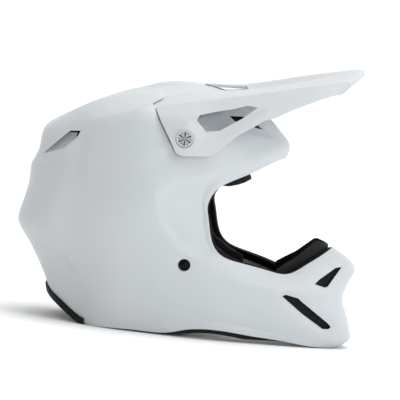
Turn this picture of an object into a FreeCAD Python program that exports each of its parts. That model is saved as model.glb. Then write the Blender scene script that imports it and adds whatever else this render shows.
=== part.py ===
import FreeCAD, Part
import math
import os

# Motocross helmet.  Millimetres, +X forward, +Z up, the wearer's right side at -Y.
# Z = 0 is the floor the helmet stands on, X = 0 halfway between the rear of the shell and the chin.

os.makedirs("parts", exist_ok=True)
V = FreeCAD.Vector

# ---------------------------------------------------------------- driving dimensions
SHELL_WALL = 3.5
MESH_GAP = 0.4           # shell to the mesh plates behind its vents
MESH_PLATE = 1.2
FOAM_OFFSET = SHELL_WALL + MESH_GAP + MESH_PLATE + 0.5   # outer face of the foam below the shell's skin
CHIN_FOAM = 17.0         # foam block inside the chin bar
BAND = 2.0               # thickness of the rubber bands inside the shell's edges
BAND_REACH = 6.5         # how far a band reaches into the shell
BEAD_REACH = 2.5         # how far the eyeport bead stands past the shell's edge
EDGE_GAP = 0.5           # rubber to shell

HEAD_CENTRE = V(-35.0, 0.0, 125.0)
HEAD_HALF = (100.0, 80.0, 85.0)   # half length, width and height of the space for the head
PAD_THICK = 7.0          # comfort liner
SLIP_GAP = 2.0           # slip liner to the foam, room for a few degrees of yaw
SLIP_THICK = 1.0
PAD_GAP = 0.4            # comfort liner to the slip liner

VISOR_WALL = 2.5
VISOR_CLEAR = 1.5        # visor to the shell
TILT_CLEAR = 0.7         # visor to the shell with the visor tilted right up
VISOR_TILT_UP = 2.5      # degrees
PIVOT_X = -10.1          # visor screws and the tilt axis, which lies along Y
PIVOT_Z = 202.3
PIVOT_PAD_Y = 111.6      # outer face of the flat pads on the shell that carry the visor arms
PIVOT_GAP = 0.4
ARM_BOSS = 3.2           # thickness of the visor arm at the screw
SCREW_HEAD_R = 8.9
SCREW_HEAD = 1.8
SCREW_R = 3.0
RUNNING = 0.08           # radial clearance of the turning screws

STRAP_X = 3.6            # strap anchors
STRAP_Z = 75.1
STRAP_WIDE = 25.0
STRAP_THICK = 1.8
RING_WIRE = 1.75         # wire radius of the strap rings
RINGS = 21               # rows of the shell's net from the eyeport edge to the neck edge

# ---------------------------------------------------------------- outline of the shell
# Each line runs from the eyeport edge back or down to the neck edge:
# (row, x, half width, z).  Rows that a line leaves out are filled in smoothly.
SHELL_LINES = [
    # crown centre line
    [(0, 93.9, 0, 191.7), (1, 96.5, 0, 202), (2, 88, 0, 215.3), (3, 72, 0, 230.2), (4, 45, 0, 245.2),
     (5, 14, 0, 254.4), (6, -20, 0, 256.9), (7, -55, 0, 250.7), (8, -90, 0, 238.6), (9, -122, 0, 222.5),
     (10, -148, 0, 206.8), (11, -159.5, 0, 197.2), (12, -163, 0, 186), (13, -164.5, 0, 171),
     (14, -170, 0, 155), (15, -171, 0, 138), (16, -175.2, 0, 115), (17, -178.4, 0, 97),
     (18, -171, 0, 83), (19, -155, 0, 60), (20, -138, 0, 31)],
    # beside the centre line
    [(0, 91.5, 22, 190.5), (1, 94, 22.5, 200.5), (2, 86, 23, 213.5), (3, 70.5, 24, 228.2),
     (4, 44, 25, 242.5), (5, 13, 25, 251.2), (6, -20, 25, 253.5), (7, -55, 24.5, 248), (8, -90, 24.5, 236.5),
     (9, -121.5, 24.5, 220.5), (10, -146.5, 24.5, 205), (11, -157.5, 25, 195.5), (12, -161.2, 26, 184.5),
     (13, -162.8, 27, 170), (14, -167.5, 27.5, 154), (15, -168.3, 27.5, 137), (16, -172.3, 27, 115),
     (17, -174.8, 26.5, 97), (18, -167.5, 25, 82.5), (19, -152, 23.5, 59), (20, -136.5, 22, 29)],
    # middle of the top deck
    [(0, 80, 47, 185.3), (1, 83, 48, 195), (2, 76.5, 49, 207), (3, 62, 50, 220.5), (4, 38, 51, 233.5),
     (5, 9, 51, 241.5), (6, -20, 50.5, 243.3), (7, -52, 50.5, 240), (8, -86, 50.5, 232.5),
     (9, -115, 50, 220), (10, -137, 50, 204), (11, -147.5, 51, 193), (12, -152, 52, 182),
     (13, -154.5, 53, 168), (14, -158.5, 54, 152), (15, -159.8, 54, 136), (16, -162.8, 53, 114),
     (17, -164.5, 51, 96), (18, -158, 48, 81), (19, -144, 44.5, 56), (20, -129.5, 41.5, 23)],
    # edge of the top deck
    [(0, 60, 76, 173.5), (1, 61.5, 79, 183), (2, 56, 82, 194.5), (3, 43, 85.5, 207), (4, 22, 88.5, 216.5),
     (5, -2, 90, 221.5), (6, -25, 90.5, 224.5), (7, -50, 91, 224.8), (8, -76, 88.5, 217.5),
     (9, -98, 83, 209), (10, -110, 78.5, 201), (11, -117.5, 77, 190.5), (12, -124.5, 77.5, 178.5),
     (13, -130, 79, 165.5), (14, -135.5, 80, 150), (15, -138.5, 80, 134), (16, -141.5, 78.5, 113),
     (17, -142.5, 75.5, 95), (18, -137, 70, 79), (19, -125, 63.5, 52), (20, -116, 58.5, 14)],
    # upper side
    [(0, 40, 91.5, 163), (1, 39, 95, 169), (2, 33, 99, 178.5), (3, 20, 103.5, 188.5), (4, 0, 107, 196),
     (5, -22, 107.3, 201), (6, -43, 106.8, 202.3), (7, -63, 105, 199), (8, -81, 101, 193),
     (9, -95, 97, 183.5), (10, -105, 94.5, 171.5), (11, -109.5, 93.5, 162.5), (13, -116, 92, 143),
     (15, -120, 89.5, 118), (16, -121.5, 87, 102), (17, -120, 84, 88), (18, -115.5, 80, 73),
     (19, -107, 74.5, 45), (20, -99, 71, 3.5)],
    # temple
    [(0, 26.5, 104.5, 152.5), (2, 14, 110, 159.5), (4, -12, 116, 168), (6, -45, 117, 167.5),
     (8, -72, 112.7, 155), (10, -89, 107.8, 135.5), (11, -91.5, 106.7, 130), (13, -95.5, 104.3, 117.5),
     (15, -98, 101, 101.5), (17, -97, 96, 81), (18, -95, 92.7, 69), (19, -90, 87, 41), (20, -84, 84, 0.5)],
    # widest part
    [(0, 20.6, 111.5, 138), (2, 12, 114.8, 140), (4, -7, 119.3, 142), (6, -30, 122.5, 140),
     (8, -50, 121, 131), (10, -61.5, 118, 119), (11, -64, 117, 115), (13, -67.5, 115, 106),
     (15, -69.5, 112, 94), (17, -70, 108, 79), (18, -69, 105, 68), (19, -66.5, 98.5, 42),
     (20, -64, 91, 1.2)],
    # over the ear
    [(0, 23, 113.3, 124), (2, 15, 115.8, 123), (4, 1, 118.8, 120), (6, -15, 120.8, 114.5),
     (8, -27, 120, 105), (10, -34, 117.8, 95), (11, -35.5, 116.8, 91), (13, -37.5, 114.7, 83),
     (15, -39, 111.5, 72.5), (17, -39.5, 107.5, 60), (18, -39, 105, 51.5), (19, -37.5, 100, 31),
     (20, -36, 93.5, 2)],
    # rear of the jaw
    [(0, 28.5, 112.5, 103), (2, 22, 114.3, 100.5), (4, 11, 116.3, 96), (6, 0, 116.8, 88.5),
     (8, -7, 115, 79.5), (10, -11, 112.3, 70), (11, -12, 111.3, 66.5), (13, -13, 109, 59),
     (15, -13.5, 106.3, 50), (17, -13.3, 103.3, 39.5), (18, -12.5, 101.3, 32.5), (19, -10.5, 98, 18.5),
     (20, -8, 95, 3)],
    # jaw
    [(0, 40, 107, 88.5), (2, 35, 109.3, 84.5), (4, 28, 111, 78.5), (6, 21.5, 110.5, 70.5),
     (8, 17.5, 108.3, 62.5), (10, 15, 105.8, 54.5), (11, 14.5, 105, 52), (13, 14, 103.3, 46),
     (15, 14, 101.3, 39), (17, 14.3, 99.2, 31.5), (18, 14.5, 97.8, 26.5), (19, 15, 96, 18),
     (20, 15.5, 94.3, 9)],
    # rear of the chin bar
    [(0, 60, 96, 82.5), (2, 57.5, 99, 77.5), (4, 54, 101.3, 71), (6, 51, 101.5, 63.5), (8, 48.5, 100, 56),
     (10, 47, 98.3, 49), (13, 46, 96.5, 41.5), (16, 46, 94.3, 31.5), (18, 46, 92.6, 23.5),
     (20, 46.5, 90, 10.8)],
    # side of the chin bar
    [(0, 86, 81.5, 77.5), (2, 85, 85, 73), (4, 83, 88, 67), (6, 81, 88.8, 60), (8, 79.5, 88, 52.5),
     (10, 78.5, 86.8, 45.5), (13, 78, 85.3, 38), (16, 77.5, 83, 28), (18, 77.5, 81.3, 20),
     (20, 78, 79.2, 8)],
    [(0, 108, 66.5, 74.5), (2, 109.5, 70.5, 70.5), (4, 109.5, 74, 65), (6, 108.5, 75.5, 58),
     (8, 107.5, 75.5, 50.5), (10, 107, 75, 43.5), (13, 107, 74, 36), (16, 107, 72, 26),
     (18, 107, 70.3, 17.5), (20, 107.5, 67, 5.5)],
    [(0, 126, 48, 84), (2, 131, 52.5, 79), (4, 134, 56, 72.5), (6, 134.5, 58.5, 64.5), (8, 134, 60, 56),
     (10, 134, 60.3, 47.5), (13, 134.5, 60, 38.5), (16, 135.5, 58.5, 27), (18, 136, 57, 16.5),
     (20, 136, 53, 2)],
    # corner of the chin
    [(0, 142, 27, 95), (2, 149.5, 31.5, 89.5), (4, 155.5, 35, 82), (6, 157, 37.5, 73.5),
     (8, 156, 39.5, 64), (10, 155.5, 41, 54.5), (13, 157, 42.5, 44), (16, 160.5, 43.5, 30),
     (18, 162, 42.5, 18), (19, 160.5, 40, 8), (20, 155, 37, 0.5)],
    [(0, 150.5, 11, 101.5), (2, 160, 14, 96.5), (4, 170.5, 17, 89), (6, 174.5, 19, 80.5),
     (8, 171, 20.5, 70), (10, 167.3, 22, 58.5), (13, 168, 23.5, 47), (16, 174, 25, 31),
     (18, 177.5, 25, 17), (19, 175, 23.5, 7), (20, 166, 21, 0.3)],
    # chin centre line
    [(0, 153.6, 0, 103.4), (2, 163.8, 0, 97.6), (4, 175.5, 0, 90), (6, 179, 0, 82), (8, 175, 0, 71.5),
     (10, 170.7, 0, 59), (13, 170, 0, 48.5), (16, 176.5, 0, 32), (18, 181.5, 0, 16.5), (19, 179.5, 0, 6.5),
     (20, 168, 0, 0)],
]
HALF = len(SHELL_LINES) - 1      # index of the chin centre line


# ---------------------------------------------------------------- nets and the surfaces through them
def row_steps():
    """Distance of every row from the eyeport edge, measured along the crown centre line."""
    steps = [0.0]
    line = [V(x, y, z) for row, x, y, z in SHELL_LINES[0]]
    for here, after in zip(line, line[1:]):
        steps.append(steps[-1] + (after - here).Length)
    return steps


def fill_rows(line, steps):
    """All rows of one shell line, smooth between the rows that are given."""
    known = [steps[key[0]] for key in line]
    places = [V(key[1], key[2], key[3]) for key in line]
    slopes = []
    for k in range(len(line)):
        low = max(k - 1, 0)
        high = min(k + 1, len(line) - 1)
        slopes.append((places[high] - places[low]) * (1.0 / (known[high] - known[low])))
    points = []
    span = 0
    for step in steps:
        while span < len(line) - 2 and step > known[span + 1]:
            span += 1
        width = known[span + 1] - known[span]
        t = (step - known[span]) / width
        start = places[span] * (1 + 2 * t) * (1 - t) ** 2 + slopes[span] * (width * t * (1 - t) ** 2)
        end = places[span + 1] * (t * t * (3 - 2 * t)) + slopes[span + 1] * (width * t * t * (t - 1))
        points.append(start + end)
    return points


def shell_net():
    """Rows of points on the shell's skin; each row is a closed loop round the eyeport."""
    steps = row_steps()
    lines = [fill_rows(line, steps) for line in SHELL_LINES]
    right = [[V(p.x, -p.y, p.z) for p in line] for line in lines]
    loop = right + lines[HALF - 1:0:-1]
    return [[line[row] for line in loop] for row in range(RINGS)]


def net_normals(net, closed=True):
    """Outward direction at every point of a net."""
    rows = len(net)
    count = len(net[0])
    normals = []
    for i in range(rows):
        normals.append([])
        for j in range(count):
            along = net[min(i + 1, rows - 1)][j] - net[max(i - 1, 0)][j]
            if closed:
                across = net[i][(j + 1) % count] - net[i][(j - 1) % count]
            else:
                across = net[i][min(j + 1, count - 1)] - net[i][max(j - 1, 0)]
            normals[i].append(along.cross(across).normalize())
    return normals


def moved(net, normals, distance):
    return [[p + n * distance for p, n in zip(row, row_n)] for row, row_n in zip(net, normals)]


def weights(count, closed):
    """Weights of the poles of a cubic spline at the points it has to pass through."""
    if closed:
        return [[((j - 1) % count, 1 / 6), (j, 4 / 6), ((j + 1) % count, 1 / 6)] for j in range(count)]
    knots = [0.0] * 4 + [float(k) for k in range(1, count - 3)] + [float(count - 3)] * 4
    rows = []
    for j in range(count):
        place = (knots[j + 1] + knots[j + 2] + knots[j + 3]) / 3
        place = min(place, count - 3 - 1e-9)
        low = [1.0 if knots[k] <= place < knots[k + 1] else 0.0 for k in range(len(knots) - 1)]
        for degree in (1, 2, 3):
            high = []
            for k in range(len(low) - 1):
                value = 0.0
                if knots[k + degree] > knots[k]:
                    value += (place - knots[k]) / (knots[k + degree] - knots[k]) * low[k]
                if knots[k + degree + 1] > knots[k + 1]:
                    share = (knots[k + degree + 1] - place) / (knots[k + degree + 1] - knots[k + 1])
                    value += share * low[k + 1]
                high.append(value)
            low = high
        rows.append([(k, value) for k, value in enumerate(low) if value > 1e-9])
    return rows


def fit_line(points, rows):
    """Poles of the cubic spline through the points."""
    poles = [V(p) for p in points]
    for repeat in range(30):
        misses = []
        for point, row in zip(points, rows):
            there = V(0, 0, 0)
            for index, weight in row:
                there += poles[index] * weight
            misses.append(point - there)
        poles = [pole + miss for pole, miss in zip(poles, misses)]
    return poles


def fit_net(net, closed):
    """Poles of the cubic surface through a net."""
    across = weights(len(net[0]), closed)
    along = weights(len(net), False)
    half_way = [fit_line(row, across) for row in net]
    columns = [fit_line(list(column), along) for column in zip(*half_way)]
    return [list(row) for row in zip(*columns)]


def spline_face(poles, straight, closed):
    """Face of a pole net; `straight` makes it ruled between two rows."""
    surface = Part.BSplineSurface()
    rows = len(poles)
    count = len(poles[0])
    if straight:
        u_mults, u_knots, u_degree = [2, 2], [0.0, 1.0], 1
    else:
        u_mults = [4] + [1] * (rows - 4) + [4]
        u_knots = [float(k) for k in range(rows - 2)]
        u_degree = 3
    if closed:
        v_mults = [1] * (count + 1)
        v_knots = [float(k) for k in range(count + 1)]
    else:
        v_mults = [4] + [1] * (count - 4) + [4]
        v_knots = [float(k) for k in range(count - 2)]
    surface.buildFromPolesMultsKnots(poles, u_mults, v_mults, u_knots, v_knots, False, closed, u_degree, 3)
    return surface.toShape()


def sewn(faces):
    """Closed solid from faces that meet edge to edge."""
    shell = Part.makeShell(faces)
    shell.sewShape()
    solid = Part.makeSolid(Part.Shell(shell.Faces))
    if solid.Volume < 0:
        solid.reverse()
    return solid


def layer(outer, inner, closed=True):
    """Solid between two nets that have the same layout."""
    top = fit_net(outer, closed)
    under = fit_net(inner, closed)
    faces = [spline_face(top, False, closed), spline_face(under, False, closed)]
    faces.append(spline_face([top[0], under[0]], True, closed))
    faces.append(spline_face([top[-1], under[-1]], True, closed))
    if not closed:
        for side in (0, -1):
            faces.append(spline_face([[row[side] for row in top], [row[side] for row in under]], True, False))
    return sewn(faces)


# ---------------------------------------------------------------- small helpers
def prism_y(points, y0, y1):
    """Side view outline of (x, z) points, extruded across the helmet."""
    wire = Part.makePolygon([V(x, y0, z) for x, z in points + points[:1]])
    return Part.Face(wire).extrude(V(0, y1 - y0, 0))


def prism_z(points, z0, z1):
    """Plan view outline of (x, y) points, extruded upward."""
    wire = Part.makePolygon([V(x, y, z0) for x, y in points + points[:1]])
    return Part.Face(wire).extrude(V(0, 0, z1 - z0))


def box(x0, x1, y0, y1, z0, z1):
    return Part.makeBox(x1 - x0, y1 - y0, z1 - z0, V(x0, y0, z0))


def rod(x, y0, y1, z, radius):
    """Cylinder along Y."""
    return Part.makeCylinder(radius, abs(y1 - y0), V(x, min(y0, y1), z), V(0, 1, 0))


def mirrored(shape):
    return shape.mirror(V(0, 0, 0), V(0, 1, 0))


def largest(shape):
    return max(shape.Solids, key=lambda solid: solid.Volume)


def save(name, shape):
    shape.exportStep("parts/" + name + ".step")


def save_pair(name, shape):
    save(name + "_right", shape)
    save(name + "_left", mirrored(shape))


def grown(points, amount):
    """Outline moved outward by roughly the amount, away from its middle."""
    cx = sum(p[0] for p in points) / len(points)
    cz = sum(p[1] for p in points) / len(points)
    result = []
    for x, z in points:
        reach = math.hypot(x - cx, z - cz)
        result.append((x + (x - cx) / reach * amount, z + (z - cz) / reach * amount))
    return result


NET = shell_net()
NORMALS = net_normals(NET)
INSIDE = moved(NET, NORMALS, -SHELL_WALL)

# ---------------------------------------------------------------- vents, side view outlines
BROW_VENT = [(30.9, 229.1), (44, 229.6), (67, 228.4), (71, 225), (74.8, 218), (64, 218.8), (37.5, 224.2)]
EXHAUST_DUCT = [(-155.9, 168.4), (-132.7, 178), (-120.7, 190.5), (-118, 197.2), (-129.5, 195.9),
                (-146.5, 178.5)]
EXHAUST_SLIT = [(-130, 194.8), (-120, 196.2), (-121.5, 191.2), (-127.5, 188.5)]
CHIN_SLOT = [(105.8, 52), (109.4, 54), (122.4, 51.2), (127.1, 47.5), (156.9, 26.6), (160, 23.3),
             (157.6, 20.9), (151.3, 20.7), (128.5, 35)]
CHIN_VENT = [(138, 66.5), (142.4, 71.6), (158, 84), (164.5, 85.5), (151.9, 64.5), (148.8, 63.3)]
DUCT_FLOOR = (-48.6, -1.03, 0.82)     # y of the duct's flat floor at DUCT_START, and its slopes along x and z
DUCT_START = (-146.5, 178.5)
DUCT_BACK = 5.0                       # wall behind the duct's floor, along Y
VENTS = {"brow_mesh": (BROW_VENT, 40, 130), "chin_slot_mesh": (CHIN_SLOT, 25, 100),
         "chin_vent_mesh": (CHIN_VENT, 12, 60)}


def vent_cutter(outline, y_near, y_far):
    near = prism_y(outline, -y_far, -y_near)
    return near.fuse(mirrored(near))


def duct_block(outline, near, far):
    """Block between two planes parallel to the floor of the right exhaust duct, placed along Y from it."""
    start, along_x, along_z = DUCT_FLOOR
    points = []
    for x, z in outline:
        floor = start + along_x * (x - DUCT_START[0]) + along_z * (z - DUCT_START[1])
        points.append(V(x, floor + near, z))
    return Part.Face(Part.makePolygon(points + points[:1])).extrude(V(0, far - near, 0))


def with_ducts(shell):
    """Sunk exhaust ducts at the back, each open through a slit at its deep front end."""
    under_skin = layer(moved(NET, NORMALS, -1), moved(NET, NORMALS, -16))
    backing = duct_block(grown(EXHAUST_DUCT, 3), -20, DUCT_BACK).common(under_skin)
    for side in (1, -1):
        for shape, adds in ((backing, True), (duct_block(EXHAUST_DUCT, -60, 0), False),
                            (duct_block(EXHAUST_SLIT, -1, 12), False)):
            piece = shape if side > 0 else mirrored(shape)
            shell = shell.fuse(piece) if adds else shell.cut(piece)
    return shell


def make_shell():
    shell = layer(NET, INSIDE)
    pad = rod(PIVOT_X, -PIVOT_PAD_Y, -PIVOT_PAD_Y + 12, PIVOT_Z, 10.5)
    keep = layer(moved(NET, NORMALS, 30), INSIDE)
    pad = pad.common(keep)
    shell = with_ducts(shell.fuse([pad, mirrored(pad)]))
    for outline, y_near, y_far in VENTS.values():
        shell = shell.cut(vent_cutter(outline, y_near, y_far))
    nut_room = rod(PIVOT_X, -102.2, -80, PIVOT_Z, 8.6)
    shell = shell.cut(nut_room).cut(mirrored(nut_room))
    for x, z, radius in ((PIVOT_X, PIVOT_Z, SCREW_R + 0.5), (STRAP_X, STRAP_Z, 6.3)):
        shell = shell.cut(rod(x, -130, -70, z, radius))
        shell = shell.cut(rod(x, 70, 130, z, radius))
    return largest(shell)


def make_meshes():
    """Mesh plates behind each vent of the right side."""
    top = moved(NET, NORMALS, -SHELL_WALL - MESH_GAP)
    under = moved(NET, NORMALS, -SHELL_WALL - MESH_GAP - MESH_PLATE)
    sheet = layer(top, under)
    plates = {}
    for name, (outline, y_near, y_far) in VENTS.items():
        plates[name] = largest(sheet.common(prism_y(grown(outline, 4), -y_far, -y_near)))
    plates["exhaust_mesh"] = duct_block(grown(EXHAUST_SLIT, 2.5), DUCT_BACK + 0.7, DUCT_BACK + 2.2)
    return plates


def edge_frame(row, step):
    """Directions at an edge row of the shell: into the shell, and outward."""
    edge = NET[row]
    inward = [(NET[row + step][j] - edge[j]).normalize() for j in range(len(edge))]
    normals = NORMALS[row]
    inward = [(a - n * a.dot(n)).normalize() for a, n in zip(inward, normals)]
    return edge, inward, normals


def edge_trim(row, step, sections):
    """Band along an edge row; sections holds its (depth, height) outline at every column."""
    edge, inward, normals = edge_frame(row, step)
    loops = []
    for corner in range(len(sections[0])):
        points = []
        for j, section in enumerate(sections):
            depth, height = section[corner]
            points.append(edge[j] + inward[j] * depth + normals[j] * height)
        loops.append(fit_line(points, weights(len(points), True)))
    loops.append(loops[0])
    return sewn([spline_face([here, after], True, True) for here, after in zip(loops, loops[1:])])


BAND_TOP = -SHELL_WALL - EDGE_GAP          # height of a band's outer face against the shell's skin
# Eyeport bead at each shell line from the crown: set back into the shell, and height of its outer face.
# It shows along the sides and the chin bar and is hidden behind the brow.
BEAD_BACK = [3.0, 3.0, 3.0, 3.0, 1.0] + [0.0] * (HALF - 4)
BEAD_TOP = [BAND_TOP - 0.3] * 5 + [BAND_TOP + 0.7] + [-1.2] * (HALF - 5)


def make_eyeport_trim():
    """Rubber band inside the eyeport with a bead that covers the raw edge of the shell."""
    sections = []
    for j in range(len(NET[0])):
        line = min(j, len(NET[0]) - j)
        back = BEAD_BACK[line]
        top = BEAD_TOP[line]
        sections.append([(BAND_REACH, BAND_TOP), (BAND_REACH, BAND_TOP - BAND),
                         (back - BEAD_REACH, BAND_TOP - BAND), (back - BEAD_REACH, top),
                         (back - EDGE_GAP, top), (back - EDGE_GAP, BAND_TOP)])
    return edge_trim(0, 1, sections)


def make_bottom_trim():
    """Rubber band inside the neck edge; it hangs below the shell where the shell's edge rises."""
    sections = []
    for p in NET[-1]:
        drop = min(max(p.z - 3.0, 0.0), 5.5) if p.x > -60 else 0.0
        sections.append([(BAND_REACH, BAND_TOP), (BAND_REACH, BAND_TOP - BAND), (-drop, BAND_TOP - BAND),
                         (-drop, BAND_TOP)])
    band = edge_trim(RINGS - 1, -1, sections)
    return largest(band.common(box(-90, 200, -150, 150, 0, 60)))


def make_rear_bumper():
    """Thick rubber channel round the nape."""
    outside = EDGE_GAP
    section = [(5, outside), (4, outside + 2), (-2, outside + 3.5), (-3.5, outside), (-3.5, BAND_TOP - BAND),
               (BAND_REACH, BAND_TOP - BAND), (BAND_REACH, BAND_TOP), (-EDGE_GAP, BAND_TOP),
               (-EDGE_GAP, outside)]
    band = edge_trim(RINGS - 1, -1, [section] * len(NET[0]))
    return largest(band.common(box(-200, -90.5, -150, 150, 0, 80)))


NOSE_SIDE = [(95, 70), (98, 78), (117, 92), (136, 110), (144, 108), (151, 105), (151, 97), (142, 85),
             (126, 74), (108, 66)]
NOSE_PLAN = [(82.4, 76.1), (104, 61.4), (121.2, 43.6), (137.5, 24), (145.6, 10), (148.6, 0)]   # outer face
NOSE_WALL = 3.6


def make_nose_guard():
    """Soft deflector wall that rises inside the edge of the chin bar."""
    count = len(NOSE_PLAN)
    back = []
    for k, (x, y) in enumerate(NOSE_PLAN):
        before = NOSE_PLAN[max(k - 1, 0)]
        after = NOSE_PLAN[k + 1] if k + 1 < count else (before[0], -before[1])
        length = math.hypot(after[0] - before[0], after[1] - before[1])
        back.append((x + (after[1] - before[1]) / length * NOSE_WALL,
                     y - (after[0] - before[0]) / length * NOSE_WALL))
    ring = NOSE_PLAN + [(x, -y) for x, y in NOSE_PLAN[-2::-1]]
    ring += [(x, -y) for x, y in back] + back[-2::-1]
    return largest(prism_z(ring, 60, 120).common(prism_y(NOSE_SIDE, -100, 100)))


# ---------------------------------------------------------------- inside of the helmet
def head_half(extra):
    return [half + extra for half in HEAD_HALF]


def cavity_point(p, extra):
    """The point moved straight towards the head until it lies on the head space grown by `extra`."""
    a, b, c = head_half(extra)
    rise = max(p.z - HEAD_CENTRE.z, 0.0)
    dx = p.x - HEAD_CENTRE.x
    k = 1.0 / math.sqrt((dx / a) ** 2 + (p.y / b) ** 2 + (rise / c) ** 2)
    z = HEAD_CENTRE.z + rise * k if rise > 0 else p.z
    return V(HEAD_CENTRE.x + dx * k, p.y * k, z)


def head_dome(extra):
    a, b, c = head_half(extra)
    ball = Part.makeSphere(1.0)
    matrix = FreeCAD.Matrix()
    matrix.scale(a, b, c)
    matrix.move(HEAD_CENTRE)
    return ball.transformGeometry(matrix)


FOAM_CAVITY = PAD_THICK + PAD_GAP + SLIP_THICK + SLIP_GAP


def make_crown_foam():
    """Energy-absorbing foam over the crown, the back and the sides."""
    count = len(NET[0])
    first, last = 1, 19
    columns = [j % count for j in range(-9, 10)]
    skin = moved(NET, NORMALS, -FOAM_OFFSET)
    clear_of_band = moved(NET, NORMALS, BAND_TOP - BAND - 1.0)
    outer = [[clear_of_band[i][j] if i < 3 else skin[i][j] for j in columns] for i in range(first, last + 1)]
    inner = [[cavity_point(p, FOAM_CAVITY) for p in row] for row in outer]
    foam = layer(outer, inner, closed=False)
    duct_room = duct_block(grown(EXHAUST_DUCT, 6), -60, DUCT_BACK + 3)
    foam = foam.cut(duct_room).cut(mirrored(duct_room))
    for side in (-1, 1):
        foam = foam.cut(rod(PIVOT_X, side * 115, side * 92, PIVOT_Z, 9.5))
        foam = foam.cut(rod(STRAP_X, side * 120, side * 80, STRAP_Z, 6.5))
        y0, y1 = sorted((side * 91.5, side * 75))
        foam = foam.cut(box(STRAP_X - STRAP_WIDE / 2 - 1.5, STRAP_X + STRAP_WIDE / 2 + 1.5, y0, y1, -5, 90))
    return largest(foam)


def make_chin_foam():
    """Foam block inside the chin bar."""
    skin = moved(NET, NORMALS, -FOAM_OFFSET)
    deep = moved(NET, NORMALS, -FOAM_OFFSET - CHIN_FOAM)
    rows = range(6, 18)
    columns = range(10, 2 * HALF - 9)
    outer = [[skin[i][j] for j in columns] for i in rows]
    inner = [[deep[i][j] for j in columns] for i in rows]
    return layer(outer, inner, False)


def dome_piece(outer_extra, inner_extra, side_view, half_width=200):
    piece = head_dome(outer_extra).cut(head_dome(inner_extra))
    return largest(piece.common(prism_y(side_view, -half_width, half_width)))


def make_slip_liner():
    region = [(-150, 118), (-60, 132), (10, 150), (45, 168), (80, 178), (80, 260), (-170, 260), (-170, 118)]
    return dome_piece(PAD_THICK + PAD_GAP + SLIP_THICK, PAD_THICK + PAD_GAP, region)


def make_crown_pad():
    region = [(-150, 120), (-60, 134), (10, 153), (30, 165), (62, 183), (80, 190), (80, 260), (-170, 260),
              (-170, 120)]
    return dome_piece(PAD_THICK, 0, region)


def make_brow_pad():
    region = [(38, 156.5), (45, 158), (54, 161), (61, 165), (70, 170), (70, 184), (60, 179.5), (31, 163.5),
              (20, 157)]
    return dome_piece(PAD_THICK, -4, region)


CHEEK_SIDE = [(-50, 28), (-50, 110), (-20, 118), (6, 115), (24, 100), (44, 88), (62, 80), (62, 42),
              (48, 26), (0, 19), (-35, 19)]


def make_cheek_pad():
    plan = [(-50, -62), (0, -58), (40, -54), (63, -50), (63, -57), (50, -66), (36, -72), (20, -74.5),
            (0, -82), (-35, -86.5), (-50, -86)]
    return prism_z(plan, 0, 140).common(prism_y(CHEEK_SIDE, -120, 0))


def make_cheek_plate():
    """Plastic back of the cheek pad, with the studs it snaps in by."""
    plan = [(-46, -86.6), (-35, -87), (0, -82.6), (20, -75.2), (30, -73.4), (30, -74.9), (20, -76.6),
            (0, -84), (-35, -88.4), (-46, -88)]
    return prism_z(plan, 0, 140).common(prism_y(grown(CHEEK_SIDE, -6), -120, 0))


def tube_segment(outer, inner, side_view):
    """Elliptical ring round the neck, cut out by a side view outline."""
    rings = []
    for half_length, half_width in (outer, inner):
        matrix = FreeCAD.Matrix()
        matrix.scale(half_length, half_width, 1.0)
        matrix.move(V(HEAD_CENTRE.x, 0, 0))
        rings.append(Part.makeCylinder(1.0, 120).transformGeometry(matrix))
    return largest(rings[0].cut(rings[1]).common(prism_y(side_view, -200, 200)))


def make_neck_roll():
    return tube_segment((100, 84), (80, 61), [(-53, 20), (-53, 60), (-140, 80), (-140, 54), (-100, 38)])


# ---------------------------------------------------------------- chin strap
STRAP_PATH = [(-88.6, 84), (-88.6, 28), (-85, 17), (-76, 10.5), (-58, 9.5), (-42, 14), (-30, 21)]
LOOP_Y = -24.0
LOOP_Z = 24.3
LOOP_HALF = 2.0          # half the distance between the two rings in the loop
RING_R = 16.6


def ribbon(path, thickness, x0, width):
    """Flat strap whose centre line lies in the YZ plane."""
    left = []
    right = []
    for k, (y, z) in enumerate(path):
        before = path[max(k - 1, 0)]
        after = path[min(k + 1, len(path) - 1)]
        length = math.hypot(after[0] - before[0], after[1] - before[1])
        ny = -(after[1] - before[1]) / length * thickness / 2
        nz = (after[0] - before[0]) / length * thickness / 2
        left.append(V(x0, y + ny, z + nz))
        right.append(V(x0, y - ny, z - nz))
    outline = left + right[::-1]
    return Part.Face(Part.makePolygon(outline + outline[:1])).extrude(V(width, 0, 0))


def rod_x(x0, x1, y, z, radius):
    return Part.makeCylinder(radius, x1 - x0, V(x0, y, z), V(1, 0, 0))


def strap_hole():
    return rod(STRAP_X, -95, -80, STRAP_Z, 3.2)


def make_strap_right():
    x0 = STRAP_X - STRAP_WIDE / 2
    x1 = STRAP_X + STRAP_WIDE / 2
    strap = ribbon(STRAP_PATH, STRAP_THICK, x0, STRAP_WIDE)
    inner_r = RING_WIRE + 0.3
    outer_r = inner_r + STRAP_THICK
    loop = box(x0, x1, LOOP_Y - outer_r, LOOP_Y + outer_r, LOOP_Z - LOOP_HALF, LOOP_Z + LOOP_HALF)
    hole = box(x0, x1, LOOP_Y - inner_r, LOOP_Y + inner_r, LOOP_Z - LOOP_HALF, LOOP_Z + LOOP_HALF)
    for z in (LOOP_Z - LOOP_HALF, LOOP_Z + LOOP_HALF):
        loop = loop.fuse(rod_x(x0, x1, LOOP_Y, z, outer_r))
        hole = hole.fuse(rod_x(x0, x1, LOOP_Y, z, inner_r))
    join = ribbon([(-30.5, 20.6), (-27, 23.6)], STRAP_THICK, x0, STRAP_WIDE)
    return largest(strap.fuse([join, loop]).cut(hole).cut(strap_hole()).removeSplitter())


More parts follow.
